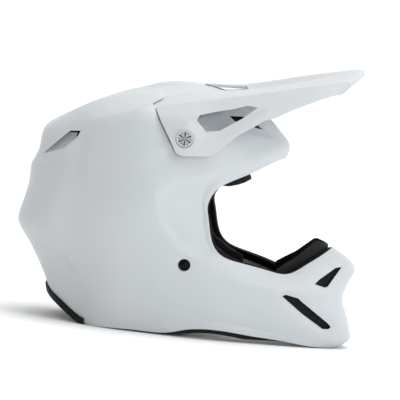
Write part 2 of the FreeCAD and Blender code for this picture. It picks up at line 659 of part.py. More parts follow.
def make_strap_left():
    path = STRAP_PATH + [(-12, 26), (-6, 26)]
    strap = ribbon(path, STRAP_THICK, STRAP_X - STRAP_WIDE / 2, STRAP_WIDE)
    return mirrored(strap.cut(strap_hole()))


def make_strap_ring(side):
    """D-shaped wire ring; side is +1 for the upper one and -1 for the lower one."""
    z = LOOP_Z + side * LOOP_HALF
    bow = Part.makeTorus(RING_R, RING_WIRE, V(STRAP_X, LOOP_Y, z), V(0, 0, 1))
    bow = bow.common(box(-60, 60, LOOP_Y, 60, 0, 60))
    bar = rod_x(STRAP_X - RING_R, STRAP_X + RING_R, LOOP_Y, z, RING_WIRE)
    ring = bow.fuse(bar)
    for end in (-1, 1):
        ring = ring.fuse(Part.makeSphere(RING_WIRE, V(STRAP_X + end * RING_R, LOOP_Y, z)))
    return largest(ring)


def make_strap_anchor():
    """Bolt with a round cap outside the shell and a washer on the strap."""
    bolt = rod(STRAP_X, -111.3, -84.9, STRAP_Z, 2.9)
    cap = rod(STRAP_X, -113.4, -109.5, STRAP_Z, 6.0)
    dimple = rod(STRAP_X, -115, -112.2, STRAP_Z, 3.4)
    washer = rod(STRAP_X, -87.5, -85.7, STRAP_Z, 7.0)
    return largest(bolt.fuse([cap, washer]).cut(dimple))


def make_strap_snap():
    stud = Part.makeCylinder(6.0, 1.6, V(STRAP_X, 14, 26.95))
    return stud.fuse(Part.makeCylinder(3.0, 2.6, V(STRAP_X, 14, 26.95)))


# ---------------------------------------------------------------- visor
# Columns from the centre line out and down to the lower edge, each from the rear to the front tip.
VISOR_LINES = [
    [(-6, 0, 259.5), (20, 0, 260.5), (45, 0, 263.8), (75, 0, 271.3), (105, 0, 279.3), (138, 0, 287),
     (163, 0, 291.8), (166, 0, 287)],
    [(-6, 11, 258.9), (20, 11, 259.9), (45, 11.5, 263.2), (75, 12, 270.8), (105, 13, 278.9), (137, 14, 286.6),
     (162.6, 15, 291.5), (165.7, 15, 286.6)],
    [(-8, 18, 257.8), (20, 18, 257.6), (45, 18.5, 258.6), (75, 19, 264.8), (105, 20, 273.6), (136, 21, 283.5),
     (161.6, 22, 290.8), (165, 22, 286)],
    [(-20, 52, 248.2), (15, 55, 251), (42, 55, 255), (72, 54, 262.5), (102, 52, 271.5), (131, 50, 279.5),
     (157, 46, 286.3), (161, 47, 281.5)],
    [(-44, 94, 230.5), (-5, 95.5, 240.5), (25, 96.5, 248.5), (58, 94.5, 256.5), (90, 89.5, 264.8),
     (120, 83, 272.3), (149, 70, 278), (151.5, 70.5, 273)],
    [(-49, 103.5, 218), (-12, 112, 218), (20, 109, 222), (56, 104, 234), (86, 97, 246), (116, 88.5, 257),
     (143, 74, 268.8), (144.5, 74, 265.5)],
    [(-53, 116, 190), (-14, 121, 180), (20, 117, 182), (56, 110, 205), (84, 101, 225), (112, 91, 241),
     (134, 78, 259.5), (137, 77, 260)],
]
VISOR_SIDE = [(-44, 229.5), (-41.5, 226), (-36.9, 218), (-25.4, 200.3), (-17.5, 187.5), (-13, 185.2),
              (-6.6, 185), (15, 187), (21.5, 189.5), (29, 197.7), (42.3, 210.9), (56, 220.4),
              (67.7, 229.1), (79.2, 233.5), (90, 240.1), (105, 248.1), (125, 257.8), (134.7, 261.8),
              (150, 266), (180, 270), (180, 300), (-44, 300)]
VISOR_WINDOW = [(-0.4, 222), (2.1, 227.6), (17.4, 232.5), (34.8, 237.2), (49, 242.5), (59.7, 241.6),
                (44.3, 228.2), (23.7, 214.2), (10.3, 211.6)]
VISOR_NOTCH = [(-70, -10.5), (20, -12.5), (44, -14.5), (47.5, -20), (42, -29), (30, -37), (-5.7, -48),
               (-13.7, -56), (-31.5, -74), (-42, -90), (-70, -95)]
BOSS_INNER = PIVOT_PAD_Y + PIVOT_GAP
BOSS_OUTER = BOSS_INNER + ARM_BOSS


def make_visor():
    half = [[V(x, -y, z) for x, y, z in line] for line in VISOR_LINES]
    other = [[V(p.x, -p.y, p.z) for p in line] for line in half]
    lines = half[::-1] + other[1:]
    net = [[line[row] for line in lines] for row in range(len(VISOR_LINES[0]))]
    normals = net_normals(net, closed=False)
    visor = layer(net, moved(net, normals, -VISOR_WALL), closed=False)
    visor = visor.common(prism_y(VISOR_SIDE, -140, 140))
    notch = prism_z(VISOR_NOTCH, 215, 300)
    window = prism_y(VISOR_WINDOW, -130, -85)
    for cutter in (notch, window):
        visor = visor.cut(cutter).cut(mirrored(cutter))
    visor = visor.cut(box(-80, -2, -10.6, 10.6, 240, 300))
    boss = rod(PIVOT_X, -BOSS_OUTER, -BOSS_INNER, PIVOT_Z, 12.5)
    room = rod(PIVOT_X, -BOSS_INNER, -80, PIVOT_Z, 14)
    seat = rod(PIVOT_X, -140, -BOSS_OUTER, PIVOT_Z, SCREW_HEAD_R + 0.6)
    hole = rod(PIVOT_X, -140, -80, PIVOT_Z, SCREW_R + RUNNING)
    visor = visor.cut(layer(moved(NET, NORMALS, VISOR_CLEAR), INSIDE))
    swept = layer(moved(NET, NORMALS, TILT_CLEAR), INSIDE)
    swept.rotate(V(PIVOT_X, 0, PIVOT_Z), V(0, 1, 0), VISOR_TILT_UP)
    visor = visor.cut(swept)
    visor = visor.cut(room).cut(mirrored(room))
    visor = visor.fuse([boss, mirrored(boss)])
    for cutter in (seat, hole):
        visor = visor.cut(cutter).cut(mirrored(cutter))
    return largest(visor)


def make_visor_screw():
    """Hand-turned screw with six grip notches."""
    head = rod(PIVOT_X, -BOSS_OUTER - 0.1 - SCREW_HEAD, -BOSS_OUTER - 0.1, PIVOT_Z, SCREW_HEAD_R)
    for k in range(6):
        angle = k * math.pi / 3
        x = PIVOT_X + SCREW_HEAD_R * math.cos(angle)
        z = PIVOT_Z + SCREW_HEAD_R * math.sin(angle)
        head = head.cut(rod(x, -140, -BOSS_OUTER - 1.2, z, 1.4))
    shaft = rod(PIVOT_X, -BOSS_OUTER - 1, -98, PIVOT_Z, SCREW_R)
    return largest(head.fuse(shaft))


def make_visor_nut():
    nut = rod(PIVOT_X, -101.8, -97, PIVOT_Z, 8.0)
    return nut.cut(rod(PIVOT_X, -110, -90, PIVOT_Z, SCREW_R + RUNNING))


# ---------------------------------------------------------------- write the parts
save("outer_shell", make_shell())
for plate_name, plate in make_meshes().items():
    save_pair(plate_name, plate)
save("eyeport_trim", make_eyeport_trim())
save("bottom_trim", make_bottom_trim())
save("rear_bumper", make_rear_bumper())
save("nose_guard", make_nose_guard())
save("crown_foam", make_crown_foam())
save("chin_foam", make_chin_foam())
save("slip_liner", make_slip_liner())
save("crown_pad", make_crown_pad())
save("brow_pad", make_brow_pad())
save_pair("cheek_pad", make_cheek_pad())
save_pair("cheek_plate", make_cheek_plate())
save("neck_roll", make_neck_roll())
save("strap_right", make_strap_right())
save("strap_left", make_strap_left())
save("strap_ring_upper", make_strap_ring(1))
save("strap_ring_lower", make_strap_ring(-1))
save("strap_snap", make_strap_snap())
save_pair("strap_anchor", make_strap_anchor())
save("visor", make_visor())
save_pair("visor_screw", make_visor_screw())
save_pair("visor_nut", make_visor_nut())
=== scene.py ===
import math

import bmesh
import bpy
import numpy as np
from mathutils import Matrix, Vector


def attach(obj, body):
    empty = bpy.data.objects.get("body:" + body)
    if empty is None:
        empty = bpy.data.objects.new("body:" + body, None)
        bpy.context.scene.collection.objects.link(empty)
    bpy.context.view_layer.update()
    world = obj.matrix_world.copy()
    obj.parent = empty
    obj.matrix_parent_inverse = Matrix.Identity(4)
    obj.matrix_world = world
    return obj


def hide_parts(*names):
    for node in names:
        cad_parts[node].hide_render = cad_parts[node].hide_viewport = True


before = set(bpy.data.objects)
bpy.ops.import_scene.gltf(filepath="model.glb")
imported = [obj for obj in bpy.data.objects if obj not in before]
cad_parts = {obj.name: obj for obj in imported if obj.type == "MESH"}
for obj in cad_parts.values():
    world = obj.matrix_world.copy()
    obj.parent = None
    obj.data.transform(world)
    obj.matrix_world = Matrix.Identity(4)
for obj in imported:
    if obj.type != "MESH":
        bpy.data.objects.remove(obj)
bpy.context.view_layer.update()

MM = 0.001
SHELL_WALL = 3.5
PIVOT = np.array([-10.1, 0.0, 202.3])   # visor screws, on an axis along Y
PIVOT_PAD_Y = 111.6
BOSS_INNER = PIVOT_PAD_Y + 0.4
BOSS_OUTER = BOSS_INNER + 3.2
BOLT_HOLE_R = 6.3
STRAP_X = 3.6                           # strap bolts, also on an axis along Y
STRAP_Z = 75.1

# ---------------------------------------------------------------- outlines
# Lines on the shell from the eyeport edge to the neck edge: (row, x, half width, z) in millimetres.
SHELL_LINES = [
    # crown centre line
    [(0, 93.9, 0, 191.7), (1, 96.5, 0, 202), (2, 88, 0, 215.3), (3, 72, 0, 230.2), (4, 45, 0, 245.2),
     (5, 14, 0, 254.4), (6, -20, 0, 256.9), (7, -55, 0, 250.7), (8, -90, 0, 238.6), (9, -122, 0, 222.5),
     (10, -148, 0, 206.8), (11, -159.5, 0, 197.2), (12, -163, 0, 186), (13, -164.5, 0, 171),
     (14, -170, 0, 155), (15, -171, 0, 138), (16, -175.2, 0, 115), (17, -178.4, 0, 97),
     (18, -171, 0, 83), (19, -155, 0, 60), (20, -138, 0, 31)],
    # beside the centre line
    [(0, 91.5, 22, 190.5), (1, 94, 22.5, 200.5), (2, 86, 23, 213.5), (3, 70.5, 24, 228.2),
     (4, 44, 25, 242.5), (5, 13, 25, 251.2), (6, -20, 25, 253.5), (7, -55, 24.5, 248), (8, -90, 24.5, 236.5),
     (9, -121.5, 24.5, 220.5), (10, -146.5, 24.5, 205), (11, -157.5, 25, 195.5), (12, -161.2, 26, 184.5),
     (13, -162.8, 27, 170), (14, -167.5, 27.5, 154), (15, -168.3, 27.5, 137), (16, -172.3, 27, 115),
     (17, -174.8, 26.5, 97), (18, -167.5, 25, 82.5), (19, -152, 23.5, 59), (20, -136.5, 22, 29)],
    # middle of the top deck
    [(0, 80, 47, 185.3), (1, 83, 48, 195), (2, 76.5, 49, 207), (3, 62, 50, 220.5), (4, 38, 51, 233.5),
     (5, 9, 51, 241.5), (6, -20, 50.5, 243.3), (7, -52, 50.5, 240), (8, -86, 50.5, 232.5),
     (9, -115, 50, 220), (10, -137, 50, 204), (11, -147.5, 51, 193), (12, -152, 52, 182),
     (13, -154.5, 53, 168), (14, -158.5, 54, 152), (15, -159.8, 54, 136), (16, -162.8, 53, 114),
     (17, -164.5, 51, 96), (18, -158, 48, 81), (19, -144, 44.5, 56), (20, -129.5, 41.5, 23)],
    # edge of the top deck
    [(0, 60, 76, 173.5), (1, 61.5, 79, 183), (2, 56, 82, 194.5), (3, 43, 85.5, 207), (4, 22, 88.5, 216.5),
     (5, -2, 90, 221.5), (6, -25, 90.5, 224.5), (7, -50, 91, 224.8), (8, -76, 88.5, 217.5),
     (9, -98, 83, 209), (10, -110, 78.5, 201), (11, -117.5, 77, 190.5), (12, -124.5, 77.5, 178.5),
     (13, -130, 79, 165.5), (14, -135.5, 80, 150), (15, -138.5, 80, 134), (16, -141.5, 78.5, 113),
     (17, -142.5, 75.5, 95), (18, -137, 70, 79), (19, -125, 63.5, 52), (20, -116, 58.5, 14)],
    # upper side
    [(0, 40, 91.5, 163), (1, 39, 95, 169), (2, 33, 99, 178.5), (3, 20, 103.5, 188.5), (4, 0, 107, 196),
     (5, -22, 107.3, 201), (6, -43, 106.8, 202.3), (7, -63, 105, 199), (8, -81, 101, 193),
     (9, -95, 97, 183.5), (10, -105, 94.5, 171.5), (11, -109.5, 93.5, 162.5), (13, -116, 92, 143),
     (15, -120, 89.5, 118), (16, -121.5, 87, 102), (17, -120, 84, 88), (18, -115.5, 80, 73),
     (19, -107, 74.5, 45), (20, -99, 71, 3.5)],
    # temple
    [(0, 26.5, 104.5, 152.5), (2, 14, 110, 159.5), (4, -12, 116, 168), (6, -45, 117, 167.5),
     (8, -72, 112.7, 155), (10, -89, 107.8, 135.5), (11, -91.5, 106.7, 130), (13, -95.5, 104.3, 117.5),
     (15, -98, 101, 101.5), (17, -97, 96, 81), (18, -95, 92.7, 69), (19, -90, 87, 41), (20, -84, 84, 0.5)],
    # widest part
    [(0, 20.6, 111.5, 138), (2, 12, 114.8, 140), (4, -7, 119.3, 142), (6, -30, 122.5, 140),
     (8, -50, 121, 131), (10, -61.5, 118, 119), (11, -64, 117, 115), (13, -67.5, 115, 106),
     (15, -69.5, 112, 94), (17, -70, 108, 79), (18, -69, 105, 68), (19, -66.5, 98.5, 42),
     (20, -64, 91, 1.2)],
    # over the ear
    [(0, 23, 113.3, 124), (2, 15, 115.8, 123), (4, 1, 118.8, 120), (6, -15, 120.8, 114.5),
     (8, -27, 120, 105), (10, -34, 117.8, 95), (11, -35.5, 116.8, 91), (13, -37.5, 114.7, 83),
     (15, -39, 111.5, 72.5), (17, -39.5, 107.5, 60), (18, -39, 105, 51.5), (19, -37.5, 100, 31),
     (20, -36, 93.5, 2)],
    # rear of the jaw
    [(0, 28.5, 112.5, 103), (2, 22, 114.3, 100.5), (4, 11, 116.3, 96), (6, 0, 116.8, 88.5),
     (8, -7, 115, 79.5), (10, -11, 112.3, 70), (11, -12, 111.3, 66.5), (13, -13, 109, 59),
     (15, -13.5, 106.3, 50), (17, -13.3, 103.3, 39.5), (18, -12.5, 101.3, 32.5), (19, -10.5, 98, 18.5),
     (20, -8, 95, 3)],
    # jaw
    [(0, 40, 107, 88.5), (2, 35, 109.3, 84.5), (4, 28, 111, 78.5), (6, 21.5, 110.5, 70.5),
     (8, 17.5, 108.3, 62.5), (10, 15, 105.8, 54.5), (11, 14.5, 105, 52), (13, 14, 103.3, 46),
     (15, 14, 101.3, 39), (17, 14.3, 99.2, 31.5), (18, 14.5, 97.8, 26.5), (19, 15, 96, 18),
     (20, 15.5, 94.3, 9)],
    # rear of the chin bar
    [(0, 60, 96, 82.5), (2, 57.5, 99, 77.5), (4, 54, 101.3, 71), (6, 51, 101.5, 63.5), (8, 48.5, 100, 56),
     (10, 47, 98.3, 49), (13, 46, 96.5, 41.5), (16, 46, 94.3, 31.5), (18, 46, 92.6, 23.5),
     (20, 46.5, 90, 10.8)],
    # side of the chin bar
    [(0, 86, 81.5, 77.5), (2, 85, 85, 73), (4, 83, 88, 67), (6, 81, 88.8, 60), (8, 79.5, 88, 52.5),
     (10, 78.5, 86.8, 45.5), (13, 78, 85.3, 38), (16, 77.5, 83, 28), (18, 77.5, 81.3, 20),
     (20, 78, 79.2, 8)],
    [(0, 108, 66.5, 74.5), (2, 109.5, 70.5, 70.5), (4, 109.5, 74, 65), (6, 108.5, 75.5, 58),
     (8, 107.5, 75.5, 50.5), (10, 107, 75, 43.5), (13, 107, 74, 36), (16, 107, 72, 26),
     (18, 107, 70.3, 17.5), (20, 107.5, 67, 5.5)],
    [(0, 126, 48, 84), (2, 131, 52.5, 79), (4, 134, 56, 72.5), (6, 134.5, 58.5, 64.5), (8, 134, 60, 56),
     (10, 134, 60.3, 47.5), (13, 134.5, 60, 38.5), (16, 135.5, 58.5, 27), (18, 136, 57, 16.5),
     (20, 136, 53, 2)],
    # corner of the chin
    [(0, 142, 27, 95), (2, 149.5, 31.5, 89.5), (4, 155.5, 35, 82), (6, 157, 37.5, 73.5),
     (8, 156, 39.5, 64), (10, 155.5, 41, 54.5), (13, 157, 42.5, 44), (16, 160.5, 43.5, 30),
     (18, 162, 42.5, 18), (19, 160.5, 40, 8), (20, 155, 37, 0.5)],
    [(0, 150.5, 11, 101.5), (2, 160, 14, 96.5), (4, 170.5, 17, 89), (6, 174.5, 19, 80.5),
     (8, 171, 20.5, 70), (10, 167.3, 22, 58.5), (13, 168, 23.5, 47), (16, 174, 25, 31),
     (18, 177.5, 25, 17), (19, 175, 23.5, 7), (20, 166, 21, 0.3)],
    # chin centre line
    [(0, 153.6, 0, 103.4), (2, 163.8, 0, 97.6), (4, 175.5, 0, 90), (6, 179, 0, 82), (8, 175, 0, 71.5),
     (10, 170.7, 0, 59), (13, 170, 0, 48.5), (16, 176.5, 0, 32), (18, 181.5, 0, 16.5), (19, 179.5, 0, 6.5),
     (20, 168, 0, 0)],
]


# Columns of the visor from its centre line out and down to the lower edge, rear to front.
VISOR_LINES = [
    [(-6, 0, 259.5), (20, 0, 260.5), (45, 0, 263.8), (75, 0, 271.3), (105, 0, 279.3), (138, 0, 287),
     (163, 0, 291.8), (166, 0, 287)],
    [(-6, 11, 258.9), (20, 11, 259.9), (45, 11.5, 263.2), (75, 12, 270.8), (105, 13, 278.9),
     (137, 14, 286.6), (162.6, 15, 291.5), (165.7, 15, 286.6)],
    [(-8, 18, 257.8), (20, 18, 257.6), (45, 18.5, 258.6), (75, 19, 264.8), (105, 20, 273.6),
     (136, 21, 283.5), (161.6, 22, 290.8), (165, 22, 286)],
    [(-20, 52, 248.2), (15, 55, 251), (42, 55, 255), (72, 54, 262.5), (102, 52, 271.5), (131, 50, 279.5),
     (157, 46, 286.3), (161, 47, 281.5)],
    [(-44, 94, 230.5), (-5, 95.5, 240.5), (25, 96.5, 248.5), (58, 94.5, 256.5), (90, 89.5, 264.8),
     (120, 83, 272.3), (149, 70, 278), (151.5, 70.5, 273)],
    [(-49, 103.5, 218), (-12, 112, 218), (20, 109, 222), (56, 104, 234), (86, 97, 246), (116, 88.5, 257),
     (143, 74, 268.8), (144.5, 74, 265.5)],
    [(-53, 116, 190), (-14, 121, 180), (20, 117, 182), (56, 110, 205), (84, 101, 225), (112, 91, 241),
     (134, 78, 259.5), (137, 77, 260)],
]
VISOR_SIDE = [(-44, 229.5), (-41.5, 226), (-36.9, 218), (-25.4, 200.3), (-17.5, 187.5), (-13, 185.2),
              (-6.6, 185), (15, 187), (21.5, 189.5), (29, 197.7), (42.3, 210.9), (56, 220.4),
              (67.7, 229.1), (79.2, 233.5), (90, 240.1), (105, 248.1), (125, 257.8), (134.7, 261.8),
              (150, 266), (180, 270), (180, 300), (-44, 300)]
VISOR_WINDOW = [(-0.4, 222), (2.1, 227.6), (17.4, 232.5), (34.8, 237.2), (49, 242.5), (59.7, 241.6),
                (44.3, 228.2), (23.7, 214.2), (10.3, 211.6)]
VISOR_NOTCH = [(-70, -10.5), (20, -12.5), (44, -14.5), (47.5, -20), (42, -29), (30, -37), (-5.7, -48),
               (-13.7, -56), (-31.5, -74), (-42, -90), (-70, -95)]


# ---------------------------------------------------------------- surfaces through nets of points
def row_steps():
    """Stations of the rows, measured along the crown centre line."""
    line = np.array([key[1:] for key in SHELL_LINES[0]], float)
    return np.concatenate([[0.0], np.cumsum(np.linalg.norm(np.diff(line, axis=0), axis=1))])


def hermite(known, places, steps):
    """Smooth curve through places, known at the given stations."""
    slopes = np.empty_like(places)
    for k in range(len(known)):
        low = max(k - 1, 0)
        high = min(k + 1, len(known) - 1)
        slopes[k] = (places[high] - places[low]) / (known[high] - known[low])
    span = np.clip(np.searchsorted(known, steps, side="right") - 1, 0, len(known) - 2)
    width = known[span + 1] - known[span]
    t = ((steps - known[span]) / width)[:, None]
    w = width[:, None]
    start = places[span] * (1 + 2 * t) * (1 - t) ** 2 + slopes[span] * w * t * (1 - t) ** 2
    end = places[span + 1] * t * t * (3 - 2 * t) + slopes[span + 1] * w * t * t * (t - 1)
    return start + end


def shell_net():
    """Net of points through the side lines, mirrored to go all the way round: [row][line]."""
    steps = row_steps()
    lines = []
    for line in SHELL_LINES:
        known = steps[[key[0] for key in line]]
        lines.append(hermite(known, np.array([key[1:] for key in line], float), steps))
    right = [line * [1, -1, 1] for line in lines]
    loop = right + lines[-2:0:-1]
    return np.array(loop).transpose(1, 0, 2)


NET = shell_net()
LINES_AROUND = NET.shape[1]


def basis(count, stations, closed):
    """Weights of the poles of a uniform cubic spline at the stations."""
    weights = np.zeros((len(stations), count))
    if closed:
        base = np.floor(stations).astype(int)
        t = stations - base
        parts = [(1 - t) ** 3 / 6, (3 * t ** 3 - 6 * t ** 2 + 4) / 6,
                 (-3 * t ** 3 + 3 * t ** 2 + 3 * t + 1) / 6, t ** 3 / 6]
        for k, part in enumerate(parts):
            np.add.at(weights, (np.arange(len(stations)), (base + k - 1) % count), part)
        return weights
    knots = np.concatenate([[0.0] * 4, np.arange(1, count - 3), [count - 3.0] * 4])
    place = np.minimum(stations, count - 3 - 1e-9)
    low = [((knots[k] <= place) & (place < knots[k + 1])).astype(float) for k in range(len(knots) - 1)]
    for degree in (1, 2, 3):
        high = []
        for k in range(len(low) - 1):
            value = np.zeros(len(place))
            if knots[k + degree] > knots[k]:
                value += (place - knots[k]) / (knots[k + degree] - knots[k]) * low[k]
            if knots[k + degree + 1] > knots[k + 1]:
                share = (knots[k + degree + 1] - place) / (knots[k + degree + 1] - knots[k + 1])
                value += share * low[k + 1]
            high.append(value)
        low = high
    return np.array(low).T


def nodes(count):
    """Stations where a clamped spline passes through the points of its net."""
    knots = np.concatenate([[0.0] * 4, np.arange(1, count - 3), [count - 3.0] * 4])
    return np.array([knots[j + 1:j + 4].mean() for j in range(count)])


def shell_grid(along, across):
    """Points of the shell's surface; along runs from the eyeport edge to the neck, both from 0 to 1."""
    rows, count = NET.shape[:2]
    lines = basis(rows, along * (rows - 3), False) @ np.linalg.inv(basis(rows, nodes(rows), False))
    at_lines = basis(count, np.arange(count, dtype=float), True)
    columns = basis(count, across * count, True) @ np.linalg.inv(at_lines)
    return np.einsum("ri,cj,ijk->rck", lines, columns, NET)


def grid_normals(points, closed):
    """Unit normals of a grid of points; closed grids join their last column to the first."""
    along = np.gradient(points, axis=0)
    if closed:
        across = (np.roll(points, -1, 1) - np.roll(points, 1, 1)) / 2
    else:
        across = np.gradient(points, axis=1)
    normals = np.cross(along, across)
    return normals / np.linalg.norm(normals, axis=2, keepdims=True)


# ---------------------------------------------------------------- mesh helpers
def add_mesh(name, points, faces):
    """Mesh object from millimetre points."""
    mesh = bpy.data.meshes.new(name)
    mesh.from_pydata((np.asarray(points, float) * MM).tolist(), [], faces)
    mesh.update()
    piece = bpy.data.objects.new(name, mesh)
    bpy.context.scene.collection.objects.link(piece)
    return piece


def recalc(piece):
    """Turns every face outward."""
    work = bmesh.new()
    work.from_mesh(piece.data)
    bmesh.ops.recalc_face_normals(work, faces=work.faces)
    if work.calc_volume(signed=True) < 0:
        bmesh.ops.reverse_faces(work, faces=work.faces)
    work.to_mesh(piece.data)
    work.free()


def smooth(piece, angle=35):
    """Smooth shading, with edges sharper than angle (degrees) left crisp."""
    for face in piece.data.polygons:
        face.use_smooth = True
    piece.data.set_sharp_from_angle(angle=math.radians(angle))


def swept(name, loops, closed=False, spans=None):
    """Solid through closed sections, loops[row][corner]; spans gives the map lengths of woven parts."""
    rows, count = loops.shape[:2]
    faces = []
    for r in range(rows if closed else rows - 1):
        after = (r + 1) % rows
        for c in range(count):
            beside = (c + 1) % count
            faces.append((r * count + c, r * count + beside, after * count + beside, after * count + c))
    if not closed:
        faces.append(tuple(range(count)))
        faces.append(tuple(range(rows * count - 1, (rows - 1) * count - 1, -1)))
    piece = add_mesh(name, loops.reshape(-1, 3), faces)
    recalc(piece)
    if spans is not None:
        along, across = spans
        layer = piece.data.uv_layers.new(name="weave")
        for loop in piece.data.loops:
            row, corner = divmod(loop.vertex_index, count)
            layer.data[loop.index].uv = (along[row] * MM, across[corner] * MM)
    return piece


def lathe(name, centre, axis, profile, segments=64):
    """Turned solid from (distance along the axis, radius) pairs."""
    axis = np.array(axis, float)
    side = np.array([1.0, 0.0, 0.0])
    other = np.cross(axis, side)
    turns = np.arange(segments) / segments * 2 * math.pi
    ring = np.cos(turns)[:, None] * side + np.sin(turns)[:, None] * other
    return swept(name, np.array([np.array(centre, float) + axis * along + ring * radius
                                 for along, radius in profile]))


def rod_y(name, x, z, y0, y1, radius, bevel=0.0, segments=64):
    """Cylinder along Y with a rounded outer end at y1."""
    inward = -1 if y1 > y0 else 1
    turns = np.radians(range(0, 91, 15)) if bevel else [math.pi / 2]
    profile = [(y1 + inward * bevel * (1 - math.sin(turn)), radius - bevel * (1 - math.cos(turn)))
               for turn in turns]
    return lathe(name, (x, 0, z), (0, 1, 0), [(y0, radius)] + profile, segments)


def prism(name, near, far):
    """Solid between two outlines with the same number of corners."""
    return swept(name, np.array([near, far], float))


def prism_y(name, outline, y0, y1):
    return prism(name, [(x, y0, z) for x, z in outline], [(x, y1, z) for x, z in outline])


def prism_z(name, outline, z0, z1):
    return prism(name, [(x, y, z0) for x, y in outline], [(x, y, z1) for x, y in outline])


def mirror_outline(outline):
    return [(x, -y) for x, y in outline]


def finished(piece, node_name, body, angle=35):
    """Smooths a piece and lets it stand for its CAD node on the given body."""
    smooth(piece, angle)
    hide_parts(node_name)
    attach(piece, body)
    return piece


def apply_modifiers(piece):
    """Keeps the shape that the modifiers make and removes them."""
    graph = bpy.context.evaluated_depsgraph_get()
    mesh = bpy.data.meshes.new_from_object(piece.evaluated_get(graph))
    old = piece.data
    piece.modifiers.clear()
    piece.data = mesh
    bpy.data.meshes.remove(old)


def boolean(piece, tool, operation="DIFFERENCE"):
    """Cuts piece with tool, or joins or intersects them; the tool is used up."""
    modifier = piece.modifiers.new("cut", "BOOLEAN")
    modifier.operation = operation
    modifier.solver = "MANIFOLD"
    modifier.object = tool
    apply_modifiers(piece)
    bpy.data.objects.remove(tool)


# ---------------------------------------------------------------- shaping by side view lines
def smoothstep(value):
    t = np.clip(value, 0, 1)
    return t * t * (3 - 2 * t)


def line_distance(line, x, z, closed=False):
    """Signed distance to a side view line, positive on its left, and the fraction along it."""
    points = np.array(line, float)
    if closed:
        points = np.vstack([points, points[:1]])
    lengths = np.linalg.norm(np.diff(points, axis=0), axis=1)
    starts = np.concatenate([[0.0], np.cumsum(lengths)])
    best = np.full(x.shape, 1e9)
    side = np.ones(x.shape)
    place = np.zeros(x.shape)
    for k in range(len(lengths)):
        step = (points[k + 1] - points[k]) / lengths[k]
        dx = x - points[k, 0]
        dz = z - points[k, 1]
        t = np.clip(dx * step[0] + dz * step[1], 0, lengths[k])
        gap = np.hypot(dx - t * step[0], dz - t * step[1])
        cross = step[0] * dz - step[1] * dx
        nearer = gap < best
        best = np.where(nearer, gap, best)
        side = np.where(nearer, np.where(cross >= 0, 1.0, -1.0), side)
        place = np.where(nearer, (starts[k] + t) / starts[-1], place)
    return best * side, place


def inside_distance(outline, x, z):
    """Distance to a closed outline, negative inside."""
    distance = np.abs(line_distance(outline, x, z, closed=True)[0])
    inside = np.zeros(x.shape, bool)
    for (x0, z0), (x1, z1) in zip(outline, outline[1:] + outline[:1]):
        crosses = (z0 > z) != (z1 > z)
        if z0 != z1:
            inside ^= crosses & (x < (x1 - x0) * (z - z0) / (z1 - z0) + x0)
    return np.where(inside, -distance, distance)


def ends(place, start, end):
    """1 along a line and 0 at its ends; start and end are the lengths of the fades."""
    fade = np.ones(place.shape)
    if start:
        fade = fade * smoothstep(place / start)
    if end:
        fade = fade * smoothstep((1 - place) / end)
    return fade


def crease(x, z, line, height, width, start=0.15, end=0.15):
    """Sharp fold that fades away on both sides."""
    distance, place = line_distance(line, x, z)
    return height * np.exp(-np.abs(distance) / width) * ends(place, start, end)


BROW_VENT = [(30.9, 229.1), (44, 229.6), (67, 228.4), (71, 225), (74.8, 218), (64, 218.8), (37.5, 224.2)]
EXHAUST_DUCT = [(-155.9, 168.4), (-132.7, 178), (-120.7, 190.5), (-118, 197.2), (-129.5, 195.9),
                (-146.5, 178.5)]
EXHAUST_SLIT = [(-131, 195.2), (-118.6, 196.6), (-121, 190.9), (-122.8, 191), (-121.4, 194.6),
                (-130.4, 194)]
DUCT_FLOOR = (-48.6, -1.03, 0.82)     # y of a flat plane at DUCT_START, and its slopes along x and z
DUCT_START = (-146.5, 178.5)
DUCT_LIFT = 4.5                       # floor of the duct above that plane
CHIN_SLOT = [(105.8, 52), (109.4, 54), (122.4, 51.2), (127.1, 47.5), (156.9, 26.6), (160, 23.3),
             (157.6, 20.9), (151.3, 20.7), (128.5, 35)]
CHIN_VENT = [(138, 66.5), (142.4, 71.6), (158, 84), (164.5, 85.5), (151.9, 64.5), (148.8, 63.3)]
DECK_EDGE = [(-140, 160), (-135, 167), (-129, 178), (-116, 192), (-111.5, 200), (-107, 204.3),
             (-102, 208.6), (-81.6, 215.7), (-61, 222), (-43, 227.5), (-15, 233), (15, 232)]
DECK_MIDDLE = [(-158, 203), (-138, 211), (-120, 219.4), (-110, 224.8), (-100, 229), (-85, 234),
               (-69.4, 237.4), (-43.3, 240.3), (-17.3, 243.8), (10, 245)]
LOW_FOLD = [(-160, 84), (-149.6, 80.7), (-143.8, 76), (-134, 72), (-123, 68), (-117, 64.3), (-114, 58.3),
            (-105, 50), (-93, 37.4), (-81, 26), (-75, 21), (-71, 21), (-55.6, 7), (-50, 0)]
CHEEK_SCOOP = [(62, 190), (49.7, 184), (19.2, 173), (-11, 160.6), (-24, 154), (-32.5, 147), (-34, 140),
               (-32, 130), (-26, 112), (-10, 92), (20, 80), (60, 90)]
ARM_STEP = [(-47.8, 233.5), (-43.2, 226.6), (-38.4, 217.6), (-26.9, 199.8), (-18.6, 186.4)]
CHIN_SHOULDER = [(40, 68), (49.5, 66), (73, 63), (94.6, 59.6), (107.6, 57), (122, 57.5), (136, 58.4),
                 (158, 53)]
LOWER_LIP = [(10, 14), (25.6, 17), (57, 18.6), (78.6, 15.8), (111, 11), (143, 7.3)]
REAR_STEP = [(-175, 155.5), (-157, 157.5), (-140, 157)]


